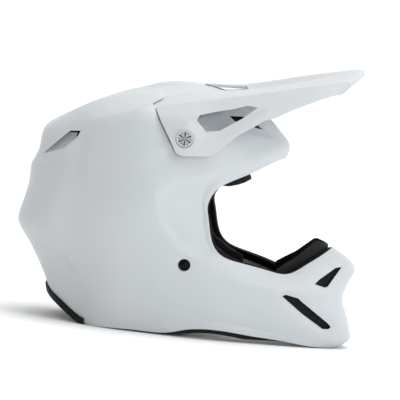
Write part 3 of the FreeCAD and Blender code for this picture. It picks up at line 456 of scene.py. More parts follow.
def shape_shell(points, normals, along, step=True):
    """Folds, recesses and steps of the shell; along runs from 0 at the eyeport edge to 1 at the neck."""
    x, y, z = points[..., 0], points[..., 1], points[..., 2]
    side = smoothstep((np.abs(y) - 28) / 14)
    rise = np.zeros(x.shape)
    back = smoothstep((20 - x) / 60)
    under_arm = smoothstep((-36 - x) / 10)
    rise += crease(x, z, DECK_EDGE, 3.8, 10, 0.1, 0.08) * side * under_arm
    rise += crease(x, z, DECK_MIDDLE, 2.6, 9, 0.05, 0.1) * side * smoothstep((z - 150) / 30)
    spine = smoothstep((21.5 - np.abs(y)) / 3.5) * smoothstep((x + 64) / 22) * (z > 225)
    rise += 2.0 * spine * smoothstep((80 - x) / 60)
    fold, place = line_distance(LOW_FOLD, x, z)
    behind = smoothstep(fold * -1 / 2.5 + 0.5) * ends(place, 0.1, 0.06)
    rise -= 2.2 * behind * (1 - smoothstep(-fold / 60)) * smoothstep((np.abs(y) - 15) / 20)
    rise += crease(x, z, LOW_FOLD, 1.1, 6, 0.08, 0.06)
    scoop = inside_distance(CHEEK_SCOOP, x, z)
    rise -= 2.6 * smoothstep(-scoop / 12) * side
    rise += crease(x, z, CHIN_SHOULDER, 1.7, 9, 0.2, 0.08)
    rise -= crease(x, z, LOWER_LIP, 1.3, 4, 0.2, 0.15)
    slot = inside_distance(CHIN_SLOT, x, z)
    rise -= 1.6 * smoothstep(1 - slot / 7) * (x > 95) * side
    vent = inside_distance(CHIN_VENT, x, z)
    rise -= 1.4 * smoothstep(1 - vent / 6) * (x > 125)
    brow = inside_distance(BROW_VENT, x, z)
    rise -= 1.8 * smoothstep(1 - brow / 9) * (z > 205) * (x > 15) * side
    rise += crease(x, z, REAR_STEP, 0.8, 5, 0.0, 0.4) * back
    anchor = np.hypot(x - STRAP_X, z - STRAP_Z)
    rise -= 0.9 * smoothstep(1.6 - anchor / 7.5)
    if step:
        gap, place = line_distance(ARM_STEP, x, z)
        lift = (1 - smoothstep(-gap / 65)) * smoothstep((13 - gap) / 4) * ends(place, 0.06, 0.25)
        rise += 2.0 * lift * side
    rise *= smoothstep(along / 0.035) * smoothstep((1 - along) / 0.03)
    return points + normals * rise[..., None]


def solid_from_grids(name, outer, inner, closed):
    """Closed solid between two grids with the same number of columns."""
    rows, count = outer.shape[:2]
    inner_rows = inner.shape[0]
    points = np.vstack([outer.reshape(-1, 3), inner.reshape(-1, 3)])
    base = rows * count
    across = count if closed else count - 1
    faces = []
    for r in range(rows - 1):
        for c in range(across):
            d = (c + 1) % count
            faces.append((r * count + c, (r + 1) * count + c, (r + 1) * count + d, r * count + d))
    for r in range(inner_rows - 1):
        for c in range(across):
            d = (c + 1) % count
            faces.append((base + r * count + c, base + r * count + d, base + (r + 1) * count + d,
                          base + (r + 1) * count + c))
    for outer_row, inner_row, flip in ((0, 0, False), (rows - 1, inner_rows - 1, True)):
        for c in range(across):
            d = (c + 1) % count
            face = (outer_row * count + c, outer_row * count + d, base + inner_row * count + d,
                    base + inner_row * count + c)
            faces.append(face[::-1] if flip else face)
    if not closed:
        for c, flip in ((0, True), (count - 1, False)):
            for r in range(rows - 1):
                face = (r * count + c, (r + 1) * count + c, base + (r + 1) * count + c, base + r * count + c)
                faces.append(face[::-1] if flip else face)
    piece = add_mesh(name, points, faces)
    recalc(piece)
    return piece


def duct_block(name, outline, near, far, side):
    """Block between two planes parallel to the flat floor of an exhaust duct, placed along Y from it."""
    start, along_x, along_z = DUCT_FLOOR
    floor = [start + along_x * (x - DUCT_START[0]) + along_z * (z - DUCT_START[1]) for x, z in outline]
    planes = [[(x, -side * (y + reach), z) for (x, z), y in zip(outline, floor)] for reach in (near, far)]
    return prism(name, *planes)


def arm_pocket(side):
    """Room in the raised rear of the shell that the visor arm lies in, with a crisp step behind the arm."""
    along = np.linspace(0.08, 0.5, 90)
    across = np.linspace(2.2, 7.2, 90) / LINES_AROUND
    patch = shell_grid(along, across)
    normals = grid_normals(patch, False)
    base = shape_shell(patch, normals, np.broadcast_to(along[:, None], patch.shape[:2]), step=False)
    if side > 0:
        base = base[:, ::-1] * [1, -1, 1]
        normals = normals[:, ::-1] * [1, -1, 1]
    room = solid_from_grids("arm_room", base + normals * 14, base - normals * 0.08, False)
    front = [(x + 13.5, z + 9) for x, z in ARM_STEP[::-1]]
    boolean(room, prism_y("arm_side", ARM_STEP + front, side * 60, side * 150), "INTERSECT")
    return room


SHELL_AROUND = 370         # points round the shell
OUTER_ROWS = 180
INNER_ROWS = 60


def build_shell():
    """Skin with ducts and vents cut through, pads under the arms, and holes for the bolts and screws."""
    across = np.arange(SHELL_AROUND) / SHELL_AROUND
    shapes = []
    for rows in (OUTER_ROWS, INNER_ROWS):
        along = np.linspace(0, 1, rows)
        points = shell_grid(along, across)
        normals = grid_normals(points, True)
        place = np.broadcast_to(along[:, None], points.shape[:2])
        shapes.append((shape_shell(points, normals, place), normals))
    outer, outer_normals = shapes[0]
    inner, normals = shapes[1]
    sink = inside_distance(EXHAUST_DUCT, inner[..., 0], inner[..., 2])
    wall = SHELL_WALL + 8.5 * smoothstep((8 - sink) / 6) * (inner[..., 0] < -95)
    inner = inner - normals * wall[..., None]
    shell = solid_from_grids("shell_skin", outer, inner, True)
    for side in (-1, 1):
        boolean(shell, arm_pocket(side))
        pad = rod_y("pad", PIVOT[0], PIVOT[2], side * 103, side * PIVOT_PAD_Y, 10.5, 0.8)
        boolean(shell, pad, "UNION")
        backing = duct_block("backing", EXHAUST_DUCT, -20, 5, side)
        under = solid_from_grids("under_skin", outer - outer_normals, outer - outer_normals * 16, True)
        boolean(backing, under, "INTERSECT")
        boolean(shell, backing, "UNION")
        boolean(shell, duct_block("duct", EXHAUST_DUCT, -60, -DUCT_LIFT, side))
        boolean(shell, duct_block("slit", EXHAUST_SLIT, -DUCT_LIFT - 1, 14, side))
        for outline, near, far in ((BROW_VENT, 40, 130), (CHIN_SLOT, 25, 100), (CHIN_VENT, 12, 60)):
            boolean(shell, prism_y("vent", outline, side * near, side * far))
        boolean(shell, rod_y("hole", STRAP_X, STRAP_Z, side * 70, side * 130, BOLT_HOLE_R))
        boolean(shell, rod_y("hole", PIVOT[0], PIVOT[2], side * 70, side * 130, 3.5))
    return finished(shell, "outer_shell", "helmet", 32)


def rounded(profile, radius, steps=4):
    """Closed section with its corners rounded."""
    points = np.array(profile, float)
    result = []
    for k, corner in enumerate(points):
        before = points[k - 1] - corner
        after = points[(k + 1) % len(points)] - corner
        cut = min(radius, np.linalg.norm(before) * 0.49, np.linalg.norm(after) * 0.49)
        start = corner + before / np.linalg.norm(before) * cut
        end = corner + after / np.linalg.norm(after) * cut
        for s in range(steps + 1):
            t = s / steps
            result.append(start * (1 - t) ** 2 + corner * 2 * t * (1 - t) + end * t * t)
    return result


def edge_loops(at_neck, sections, count):
    """Points of a band along an edge of the shell; sections gives (depth, height) for every corner."""
    across = np.arange(count) / count
    fine = np.linspace(0.98, 1, 3) if at_neck else np.linspace(0, 0.02, 3)
    patch = shell_grid(fine, across)
    normals = grid_normals(patch, True)[-1 if at_neck else 0]
    edge, beside = (patch[2], patch[1]) if at_neck else (patch[0], patch[1])
    inward = beside - edge
    inward -= normals * np.sum(inward * normals, axis=1, keepdims=True)
    inward /= np.linalg.norm(inward, axis=1, keepdims=True)
    loops = np.array([edge + inward * depth[:, None] + normals * height[:, None]
                      for depth, height in sections(edge)])
    loops[..., 2] = np.maximum(loops[..., 2], 0.1)     # flat where the rubber rests on the floor
    return loops, edge


BAND_TOP = -SHELL_WALL - 0.3
BAND_UNDER = BAND_TOP - 2.0
TRIM_POINTS = 420          # corners along a closed rubber band


def build_trims():
    """Rubber on the eyeport's edge, on the neck's edge and round the nape."""
    count = TRIM_POINTS
    half = LINES_AROUND // 2
    lines = np.abs((np.arange(count) / count * LINES_AROUND + half) % LINES_AROUND - half)
    shown = np.interp(lines, [3, 4, 5], [0.0, 0.66, 1.0])
    lifted = np.interp(lines, [4, 5, 6], [0.0, 0.32, 1.0])

    def bead(edge):
        flat = rounded([(6.5, BAND_TOP), (6.5, BAND_UNDER), (0.6, BAND_UNDER), (0.6, BAND_TOP - 0.3),
                        (2.4, BAND_TOP - 0.3), (2.4, BAND_TOP)], 0.6)
        proud = rounded([(6.5, BAND_TOP), (6.5, BAND_UNDER), (-2.5, BAND_UNDER), (-2.5, -1.2),
                         (-0.3, -1.2), (-0.3, BAND_TOP)], 0.6)
        return [(a[0] + (b[0] - a[0]) * shown, a[1] + (b[1] - a[1]) * lifted) for a, b in zip(flat, proud)]

    def hanging(edge):
        drop = np.where(edge[:, 0] > -60, np.clip(edge[:, 2] - 3.0, 0, 5.5), 0.0)
        corners = rounded([(6.5, BAND_TOP), (6.5, BAND_UNDER), (0, BAND_UNDER), (0, BAND_TOP)], 0.6)
        return [(depth - drop * (depth < 2), np.full(count, height)) for depth, height in corners]

    def nape(edge):
        corners = rounded([(5.5, 0.3), (4.4, 2.5), (-1.6, 3.9), (-3.4, 1.3), (-3.5, BAND_UNDER),
                           (6.5, BAND_UNDER), (6.5, BAND_TOP), (-0.3, BAND_TOP), (-0.3, 0.3)], 0.9)
        return [(np.full(count, depth), np.full(count, height)) for depth, height in corners]

    eyeport = swept("eyeport_rubber", edge_loops(False, bead, count)[0].transpose(1, 0, 2), closed=True)
    pieces = [finished(eyeport, "eyeport_trim", "helmet", 50)]
    for name, node_name, corners, front in (("neck_edge_rubber", "bottom_trim", hanging, True),
                                            ("nape_rubber", "rear_bumper", nape, False)):
        loops, edge = edge_loops(True, corners, count)
        chosen = edge[:, 0] > -89 if front else edge[:, 0] < -92
        turn = np.arctan2(edge[:, 1], edge[:, 0] if front else -edge[:, 0] - 60)
        order = np.where(chosen)[0]
        order = order[np.argsort(turn[order])]
        band = swept(name, loops[:, order].transpose(1, 0, 2))
        pieces.append(finished(band, node_name, "helmet", 50))
    return pieces


NOSE_PLAN = [(82.4, 76.1), (104, 61.4), (121.2, 43.6), (137.5, 24), (145.6, 10), (148.6, 0)]
NOSE_TOP = [(95, 76), (98, 78.5), (117, 92), (134, 108.5), (137, 109.6), (144, 108), (149, 106)]
NOSE_FOOT = [(95, 70.5), (108, 66.5), (126, 74.5), (142, 85.5), (149, 93)]


def build_nose_guard():
    """Soft wall that rises inside the edge of the chin bar and thins towards its top."""
    plan = np.array(NOSE_PLAN + [(x, -y) for x, y in NOSE_PLAN[-2::-1]], float)
    known = np.concatenate([[0.0], np.cumsum(np.linalg.norm(np.diff(plan, axis=0), axis=1))])
    path = hermite(known, plan, np.linspace(0, known[-1], 240))
    path = path[path[:, 0] > 95.2]
    along = np.gradient(path, axis=0)
    along /= np.linalg.norm(along, axis=1, keepdims=True)
    inward = np.stack([along[:, 1], -along[:, 0]], axis=1)
    top = np.interp(path[:, 0], *zip(*NOSE_TOP))
    foot = np.interp(path[:, 0], *zip(*NOSE_FOOT))
    rise = np.minimum(1, np.minimum(np.arange(len(path)), np.arange(len(path))[::-1]) / 3)
    top = foot + (top - foot) * (0.55 + 0.45 * rise)
    loops = []
    for depth, height in rounded([(0.1, 0), (0.1, 1), (2.3, 1), (3.5, 0)], 0.9, 5):
        lean = np.stack([path[:, 0] + inward[:, 0] * depth, path[:, 1] + inward[:, 1] * depth], axis=1)
        loops.append(np.column_stack([lean, foot + (top - foot) * min(max(height, 0), 1)]))
    piece = swept("nose_wall", np.array(loops).transpose(1, 0, 2))
    return finished(piece, "nose_guard", "helmet", 50)


# ---------------------------------------------------------------- visor
def visor_grid():
    """Right to left grid of the visor's upper skin, rows from the rear to the tip."""
    stations = np.concatenate([np.linspace(0, 0.92, 130), np.linspace(0.92, 1, 36)[1:]])
    columns = []
    for line in VISOR_LINES:
        places = np.array(line, float)
        known = np.concatenate([[0.0], np.cumsum(np.linalg.norm(np.diff(places, axis=0), axis=1))])
        columns.append(hermite(known / known[-1], places, stations))
    spans = [(0, 1, 7), (1, 2, 5), (2, 4, 44), (4, 6, 40)]
    half = []
    for first, last, count in spans:
        part = np.array(columns[first:last + 1])
        known = np.arange(last - first + 1, dtype=float)
        steps = np.linspace(0, last - first, count + 1)[:-1]
        if last - first == 1:
            for step in steps:
                half.append(part[0] * (1 - step) + part[1] * step)
        else:
            rows = [hermite(known, part[:, r], steps) for r in range(len(stations))]
            half += list(np.array(rows).transpose(1, 0, 2))
    half.append(columns[-1])
    half = np.array(half)
    right = half[::-1] * [1, -1, 1]
    grid = np.concatenate([right, half[1:]]).transpose(1, 0, 2)
    for repeat in range(3):
        inner = grid[:, 1:-1]
        inner += 0.25 * (grid[:, :-2] + grid[:, 2:] - 2 * inner)
    return grid


ARM_POCKET_R = 14
BOSS_R = 11.2
SCREW_SEAT_R = 9.5
SCREW_BORE_R = 3.08
TILT_UP = 2.5                  # degrees
CLEARED_TILTS = (1.3, 2.6)     # degrees at which the shell's room is cut from the visor


def build_visor(shell):
    """Peak with a raised tongue and two arms, clear of the shell over its whole tilt."""
    grid = visor_grid()
    normals = grid_normals(grid, False)
    x, y, z = grid[..., 0], grid[..., 1], grid[..., 2]
    window = inside_distance(VISOR_WINDOW, x, z)
    below = smoothstep((0.28 * (x + 0.4) + 226 - z) / 6)
    wall = smoothstep((np.abs(y) - 88) / 10)
    rise = -3.2 * np.clip(1 - window / 9.5, 0, 1) * below * wall
    grid = grid + normals * rise[..., None]
    normals = grid_normals(grid, False)
    visor = solid_from_grids("visor_skin", grid, grid - normals * 2.5, False)
    boolean(visor, prism_y("outline", VISOR_SIDE, -140, 140), "INTERSECT")
    for side in (-1, 1):
        notch = VISOR_NOTCH if side < 0 else mirror_outline(VISOR_NOTCH)
        boolean(visor, prism_z("notch", notch, 215, 300))
        boolean(visor, prism_y("window", VISOR_WINDOW, side * 85, side * 130))
    boolean(visor, prism_y("tail", [(-80, 240), (-2, 240), (-2, 300), (-80, 300)], -10.8, 10.8))
    across = np.arange(160) / 160
    along = np.linspace(0, 1, 120)
    skin = shell_grid(along, across)
    normals = grid_normals(skin, True)
    skin = shape_shell(skin, normals, np.broadcast_to(along[:, None], skin.shape[:2]), step=False)
    boolean(visor, solid_from_grids("room", skin + normals * 1.4, skin - normals * 4, True))
    turn = Matrix.Rotation(math.radians(TILT_UP), 3, "Y")
    over = (skin + normals * 0.7 - PIVOT) @ np.array(turn).T + PIVOT
    under = (skin - normals * 4 - PIVOT) @ np.array(turn).T + PIVOT
    boolean(visor, solid_from_grids("swept_room", over, under, True))
    for degrees in CLEARED_TILTS:
        raised = shell.copy()
        raised.data = shell.data.copy()
        bpy.context.scene.collection.objects.link(raised)
        about = Matrix.Translation(Vector(PIVOT * MM))
        raised.data.transform(about @ Matrix.Rotation(math.radians(degrees), 4, "Y") @ about.inverted())
        boolean(visor, raised)
    for side in (-1, 1):
        boolean(visor, rod_y("pocket", PIVOT[0], PIVOT[2], side * 80, side * BOSS_INNER, ARM_POCKET_R))
        boss = rod_y("boss", PIVOT[0], PIVOT[2], side * BOSS_INNER, side * BOSS_OUTER, BOSS_R, 1.4)
        boolean(visor, boss, "UNION")
        boolean(visor, rod_y("seat", PIVOT[0], PIVOT[2], side * BOSS_OUTER, side * 140, SCREW_SEAT_R))
        boolean(visor, rod_y("bore", PIVOT[0], PIVOT[2], side * 80, side * 140, SCREW_BORE_R))
    return finished(visor, "visor", "visor_body", 30)


# ---------------------------------------------------------------- screws, anchors and strap fittings
def join(pieces):
    """One object from several."""
    bpy.ops.object.select_all(action="DESELECT")
    for piece in pieces:
        piece.select_set(True)
    bpy.context.view_layer.objects.active = pieces[0]
    bpy.ops.object.join()
    return pieces[0]


SCREW_FACE = BOSS_OUTER + 1.9
GRIP_SLOT = [(0.7, -0.4), (6.2, -1.05), (7.0, -0.6), (7.0, 0.6), (6.2, 1.05), (0.7, 0.4)]
GRIP_DIMPLES = [(5.9, 0.8), (3.5, 0.45)]      # distance from the centre, radius


def build_screw(side, name):
    """Flush disc with six tapered grip slots, a dimple between each pair, and a plain shaft."""
    seat = BOSS_OUTER + 0.1
    profile = [(98, 2.6), (98.4, 3), (seat, 3), (seat, 8.9), (SCREW_FACE - 0.5, 8.9),
               (SCREW_FACE - 0.15, 8.75), (SCREW_FACE, 8.4), (SCREW_FACE, 7.9), (SCREW_FACE - 0.25, 7.6),
               (SCREW_FACE - 0.25, 0.05)]
    screw = lathe("screw_" + name, (PIVOT[0], 0, PIVOT[2]), (0, side, 0), profile, 96)
    for k in range(6):
        turn = math.radians(60 * k + 30)
        out = np.array([math.cos(turn), math.sin(turn)])
        over = np.array([-out[1], out[0]])
        centre = PIVOT[[0, 2]]
        outline = [centre + out * along + over * across for along, across in GRIP_SLOT]
        boolean(screw, prism_y("slot", outline, side * (SCREW_FACE - 1.75), side * (SCREW_FACE + 2)))
        turn += math.radians(30)
        for reach, size in GRIP_DIMPLES:
            x = PIVOT[0] + reach * math.cos(turn)
            z = PIVOT[2] + reach * math.sin(turn)
            bottom = side * (SCREW_FACE - 1.5)
            boolean(screw, rod_y("dimple", x, z, bottom, side * (SCREW_FACE + 2), size, segments=16))
    return finished(screw, "visor_screw_" + name, "screw_" + name + "_body")


LOOP_Y = -24.0
LOOP_LOW = 22.3            # lower ring's bar; the upper one lies 4 mm above it
LOOP_HIGH = 26.3
RING_R = 16.6
RING_WIRE = 1.75


def build_anchor(side, name):
    """Strap bolt with a rounded cap outside the shell, a plug sunk in it, and a washer on the strap."""
    profile = [(84.9, 2.9), (85.7, 2.9), (85.7, 6.8), (85.9, 7), (87.3, 7), (87.5, 6.8), (87.5, 2.9),
               (109.5, 2.9), (109.5, 5.8), (109.7, 6), (112.5, 6), (113.1, 5.75), (113.4, 5.2),
               (113.35, 4.6), (112.9, 4.05), (111.9, 3.8), (111.9, 3.5), (112.5, 3.35), (112.8, 2.9),
               (112.95, 1.6), (113, 0.05)]
    anchor = lathe("anchor_" + name, (STRAP_X, 0, STRAP_Z), (0, side, 0), profile, 72)
    return finished(anchor, "strap_anchor_" + name, "helmet", 40)


def build_ring(level, name):
    """D ring bent from round wire, with a straight bar under the strap's loop."""
    outline = [(STRAP_X + RING_R * math.cos(turn), LOOP_Y + RING_R * math.sin(turn))
               for turn in np.linspace(math.radians(9), math.pi - math.radians(9), 60)]
    outline += [(STRAP_X - RING_R, LOOP_Y), (STRAP_X + RING_R, LOOP_Y)]
    path = np.array(rounded(outline, 2.6, 6))
    along = np.roll(path, -1, axis=0) - np.roll(path, 1, axis=0)
    along /= np.linalg.norm(along, axis=1, keepdims=True)
    outward = np.stack([along[:, 1], -along[:, 0]], axis=1)
    loops = []
    for turn in np.arange(20) / 20 * 2 * math.pi:
        flat = path + outward * RING_WIRE * math.cos(turn)
        loops.append(np.column_stack([flat, np.full(len(path), level + RING_WIRE * math.sin(turn))]))
    ring = swept("ring_" + name, np.array(loops).transpose(1, 0, 2), closed=True)
    return finished(ring, "strap_ring_" + name, "ring_" + name + "_body")


def build_snap():
    """Stud on the end of the left strap that holds the loose end of the right one."""
    profile = [(26.95, 5.6), (27.1, 6), (27.9, 6), (28.3, 5.7), (28.5, 5), (28.55, 3.4), (28.65, 3.05),
               (29.2, 3), (29.45, 2.75), (29.55, 2.2), (29.55, 1.3), (29.2, 1), (29.2, 0.05)]
    snap = lathe("snap_stud", (STRAP_X, 14, 0), (0, 0, 1), profile, 48)
    return finished(snap, "strap_snap", "helmet", 40)


STRAP_PATH = [(-88.6, 84), (-88.6, 56), (-88.6, 30), (-85.2, 17.5), (-76, 11), (-58, 9.8), (-42, 14),
              (-33, 19.2)]
STRAP_HALF = 12.5


def strap_section():
    """Half thickness across the strap, thicker along both selvedges."""
    edge = [(-12.5, 0), (-12.4, 0.5), (-12, 0.86), (-11.4, 0.9), (-10.9, 0.74), (-10.4, 0.72)]
    inner = [(x, 0.72) for x in (-6, -2, 2, 6)]
    upper = edge + inner + [(-x, h) for x, h in edge[::-1]]
    return upper + [(x, -h) for x, h in upper[-2:0:-1]]


def ribbon(name, path, side):
    """Flat webbing whose middle line runs through path in the YZ plane."""
    path = np.array(path, float)
    known = np.concatenate([[0.0], np.cumsum(np.linalg.norm(np.diff(path, axis=0), axis=1))])
    steps = np.linspace(0, known[-1], int(known[-1] / 1.2))
    line = hermite(known, path, steps)
    along = np.gradient(line, axis=0)
    along /= np.linalg.norm(along, axis=1, keepdims=True)
    section = strap_section()
    loops = []
    for (y, z), (dy, dz) in zip(line, along):
        loops.append([(STRAP_X + x, side * (y - dz * h), z + dy * h) for x, h in section])
    across = [x for x, h in section]
    return swept(name, np.array(loops), spans=(steps, across)), line * [side, 1], along * [side, 1]


def stitch(line, along, start, length, face, cross=True):
    """Thread lying in a box with a cross in it, on one face of a strap from start (mm along it)."""
    span = np.concatenate([[0.0], np.cumsum(np.linalg.norm(np.diff(line, axis=0), axis=1))])
    half = STRAP_HALF - 3
    corners = [(0, -half), (length, -half), (length, half), (0, half), (0, -half)]
    runs = [(corners[k], corners[k + 1]) for k in range(4)]
    if cross:
        runs += [(corners[0], corners[2]), (corners[1], corners[3])]
    shape = [(-0.9, 0.12), (-0.6, 0.24), (0.6, 0.24), (0.9, 0.12)]
    points = []
    faces = []
    for (s0, x0), (s1, x1) in runs:
        gap = math.hypot(s1 - s0, x1 - x0)
        count = max(2, int(gap / 2.6))
        for k in range(count):
            t = (k + 0.5) / count
            s = start + s0 + (s1 - s0) * t
            x = STRAP_X + x0 + (x1 - x0) * t
            place = np.array([x, np.interp(s, span, line[:, 0]), np.interp(s, span, line[:, 1])])
            run = np.array([0, np.interp(s, span, along[:, 0]), np.interp(s, span, along[:, 1])])
            up = np.cross([1.0, 0, 0], run) * face
            ahead = (run * (s1 - s0) + np.array([1.0, 0, 0]) * (x1 - x0)) / gap
            beside = np.cross(ahead, up)
            base = len(points)
            for reach, radius in shape:
                for turn in np.arange(8) / 8 * 2 * math.pi:
                    points.append(place + up * 0.74 + ahead * reach + beside * radius * math.cos(turn)
                                  + up * radius * math.sin(turn))
            for row in (base, base + 8, base + 16):
                for c in range(8):
                    d = (c + 1) % 8
                    faces.append((row + c, row + d, row + 8 + d, row + 8 + c))
            faces.append(tuple(base + c for c in range(8)))
            faces.append(tuple(base + 31 - c for c in range(8)))
    piece = add_mesh("thread", points, faces)
    recalc(piece)
    return piece


def build_straps():
    """Webbing from each anchor; the right one folds round both rings, the left one ends at the snap."""
    radius = RING_WIRE + 1.25
    under = [(LOOP_Y + radius * math.sin(turn), LOOP_LOW - radius * math.cos(turn))
             for turn in np.radians([-35, 0, 45, 90])]
    over = [(LOOP_Y + radius * math.sin(turn), LOOP_HIGH - radius * math.cos(turn))
            for turn in np.radians([90, 135, 180, 225, 265])]
    fold = [(-29.2, 24.2), (-34, 21.1), (-42.6, 15.8), (-50, 13.3)]
    webs = []
    right, line, along = ribbon("strap_right_web", STRAP_PATH + under + over + fold, 1)
    total = np.sum(np.linalg.norm(np.diff(line, axis=0), axis=1))
    sewing = [stitch(line, along, total - 17, 13, -1), stitch(line, along, 24, 14, 1)]
    webs.append((right, "strap_right", -1, sewing))
    left, line, along = ribbon("strap_left_web", STRAP_PATH[:-1] + [(-30, 21), (-12, 26), (-6, 26)], -1)
    total = np.sum(np.linalg.norm(np.diff(line, axis=0), axis=1))
    sewing = [stitch(line, along, total - 22, 5, -1, False), stitch(line, along, 24, 14, -1)]
    webs.append((left, "strap_left", 1, sewing))
    made = []
    for web, node_name, side, sewing in webs:
        boolean(web, rod_y("hole", STRAP_X, STRAP_Z, side * 95, side * 80, 3.2))
        made.append((finished(web, node_name, "helmet", 40), sewing))
    return made


# ---------------------------------------------------------------- cushions
def coordinates(piece):
    flat = np.empty(len(piece.data.vertices) * 3)
    piece.data.vertices.foreach_get("co", flat)
    return flat.reshape(-1, 3) / MM


def directions(piece):
    flat = np.empty(len(piece.data.vertices) * 3)
    piece.data.vertices.foreach_get("normal", flat)
    return flat.reshape(-1, 3)


def place_points(piece, points):
    piece.data.vertices.foreach_set("co", (points * MM).ravel())
    piece.data.update()


def stuffed(node_name, voxel, held, most, pressure=4.0):
    """The CAD pad sewn from cloth and blown up by its stuffing; its back, where held, keeps its place."""
    piece = bpy.data.objects.new(node_name + "_cover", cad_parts[node_name].data.copy())
    bpy.context.scene.collection.objects.link(piece)
    remesh = piece.modifiers.new("mesh", "REMESH")
    remesh.mode = "VOXEL"
    remesh.voxel_size = voxel * MM
    apply_modifiers(piece)
    start = coordinates(piece)
    fixed = held(start, directions(piece))
    group = piece.vertex_groups.new(name="held")
    for index in np.where(fixed > 0.02)[0]:
        group.add([int(index)], float(fixed[index]), "REPLACE")
    cloth = piece.modifiers.new("stuffing", "CLOTH")
    settings = cloth.settings
    settings.quality = 5
    settings.mass = 0.2
    settings.tension_stiffness = 12
    settings.compression_stiffness = 12
    settings.shear_stiffness = 5
    settings.bending_stiffness = 0.4
    settings.vertex_group_mass = "held"
    settings.use_pressure = True
    settings.uniform_pressure_force = pressure
    settings.effector_weights.gravity = 0
    for frame_number in range(1, 21):
        bpy.context.scene.frame_set(frame_number)
    apply_modifiers(piece)
    bpy.context.scene.frame_set(1)
    moved = coordinates(piece) - start
    length = np.linalg.norm(moved, axis=1, keepdims=True)
    place_points(piece, start + moved * np.minimum(1, most / np.maximum(length, 1e-6)))
    split = piece.modifiers.new("finer", "SUBSURF")
    split.levels = 1
    apply_modifiers(piece)
    return piece


def sewn_seams(piece, seams, shown, depth=1.5, wide=1.3):
    """Stitched channels: seams gives each point's distance to every seam line."""
    points = coordinates(piece)
    normals = directions(piece)
    near = np.min(np.abs(np.array(seams(points))), axis=0)
    sink = depth * np.exp(-(near / wide) ** 2) * shown(points, normals)
    place_points(piece, points - normals * sink[:, None])


HEAD_CENTRE = np.array([-35.0, 0.0, 125.0])
HEAD_HALF = np.array([100.0, 80.0, 85.0])


def facing_head(points, normals):
    """1 on faces that look at the head, 0 on their backs."""
    inward = (HEAD_CENTRE - points) / HEAD_HALF ** 2
    inward /= np.linalg.norm(inward, axis=1, keepdims=True)
    return smoothstep((np.sum(inward * normals, axis=1) - 0.1) / 0.4)


def back_of_pad(points, normals):
    return smoothstep((0.35 - facing_head(points, normals)) / 0.3)


def cushion(node_name, body, voxel, most, seams, held=back_of_pad, shown=facing_head, wide=1.3):
    """Stuffed pad with its seams; voxel is the mesh size and most the farthest that a point may swell."""
    piece = stuffed(node_name, voxel, held, most)
    sewn_seams(piece, seams, shown, wide=wide)
    return finished(piece, node_name, body, 80)


CHEEK_OUTLINE = [(-50, 19), (-50, 112), (-20, 118), (6, 115), (24, 100), (44, 88), (62, 80), (62, 42),
                 (48, 26), (0, 19)]


def build_cushions():
    def crown_seams(points):
        x, y = points[:, 0], points[:, 1]
        return [y, y - 36, y + 36, x + 35, x + 100]

    def brow_seams(points):
        return [points[:, 1], points[:, 1] - 34, points[:, 1] + 34]

    def cheek_seams(points):
        x, z = points[:, 0], points[:, 2]
        edge = inside_distance(CHEEK_OUTLINE, x, z)
        return [edge + 10, z - 66]

    def cheek_shown(points, normals):
        return smoothstep((-np.sign(points[:, 1]) * normals[:, 1] - 0.3) / 0.4)

    def cheek_held(points, normals):
        return smoothstep((np.sign(points[:, 1]) * normals[:, 1] - 0.2) / 0.4)

    def roll_seams(points):
        x, y, z = points.T
        return [z - 48 + 0.25 * (x + 100), y, np.hypot(x + 53, np.abs(y) - 70) - 34]

    return [cushion("crown_pad", "liner_body", 3.0, 2.4, crown_seams),
            cushion("brow_pad", "liner_body", 2.5, 1.6, brow_seams, wide=1.0),
            cushion("cheek_pad_right", "helmet", 3.5, 3.0, cheek_seams, cheek_held, cheek_shown),
            cushion("cheek_pad_left", "helmet", 3.5, 3.0, cheek_seams, cheek_held, cheek_shown),
            cushion("neck_roll", "helmet", 3.5, 2.4, roll_seams)]


# ---------------------------------------------------------------- materials
def material(name, color, roughness, **inputs):
    made = bpy.data.materials.new(name)
    made.use_nodes = True
    shader = made.node_tree.nodes["Principled BSDF"]
    shader.inputs["Base Color"].default_value = (*color, 1)
    shader.inputs["Roughness"].default_value = roughness
    for key, value in inputs.items():
        shader.inputs[key.replace("_", " ")].default_value = value
    return made


def node(made, kind, **values):
    item = made.node_tree.nodes.new(kind)
    for key, value in values.items():
        if key in item.inputs:
            item.inputs[key].default_value = value
        else:
            setattr(item, key, value)
    return item


def link(made, source, target):
    made.node_tree.links.new(source, target)


def object_coordinates(made, scale=(1, 1, 1)):
    place = node(made, "ShaderNodeTexCoord")
    mapping = node(made, "ShaderNodeMapping")
    mapping.inputs["Scale"].default_value = scale
    link(made, place.outputs["Object"], mapping.inputs["Vector"])
    return mapping.outputs["Vector"]


def bump(made, height, strength, distance=0.001, chain=None):
    item = node(made, "ShaderNodeBump")
    item.inputs["Strength"].default_value = strength
    item.inputs["Distance"].default_value = distance
    link(made, height, item.inputs["Height"])
    if chain is not None:
        link(made, chain, item.inputs["Normal"])
    return item.outputs["Normal"]


def texture(made, kind, output="Fac", where=None, **values):
    """Value of a procedural texture over the object."""
    item = node(made, "ShaderNodeTex" + kind, **values)
    link(made, where or object_coordinates(made), item.inputs["Vector"])
    return item.outputs[output]


def relief(made, normal):
    link(made, normal, made.node_tree.nodes["Principled BSDF"].inputs["Normal"])
    return made


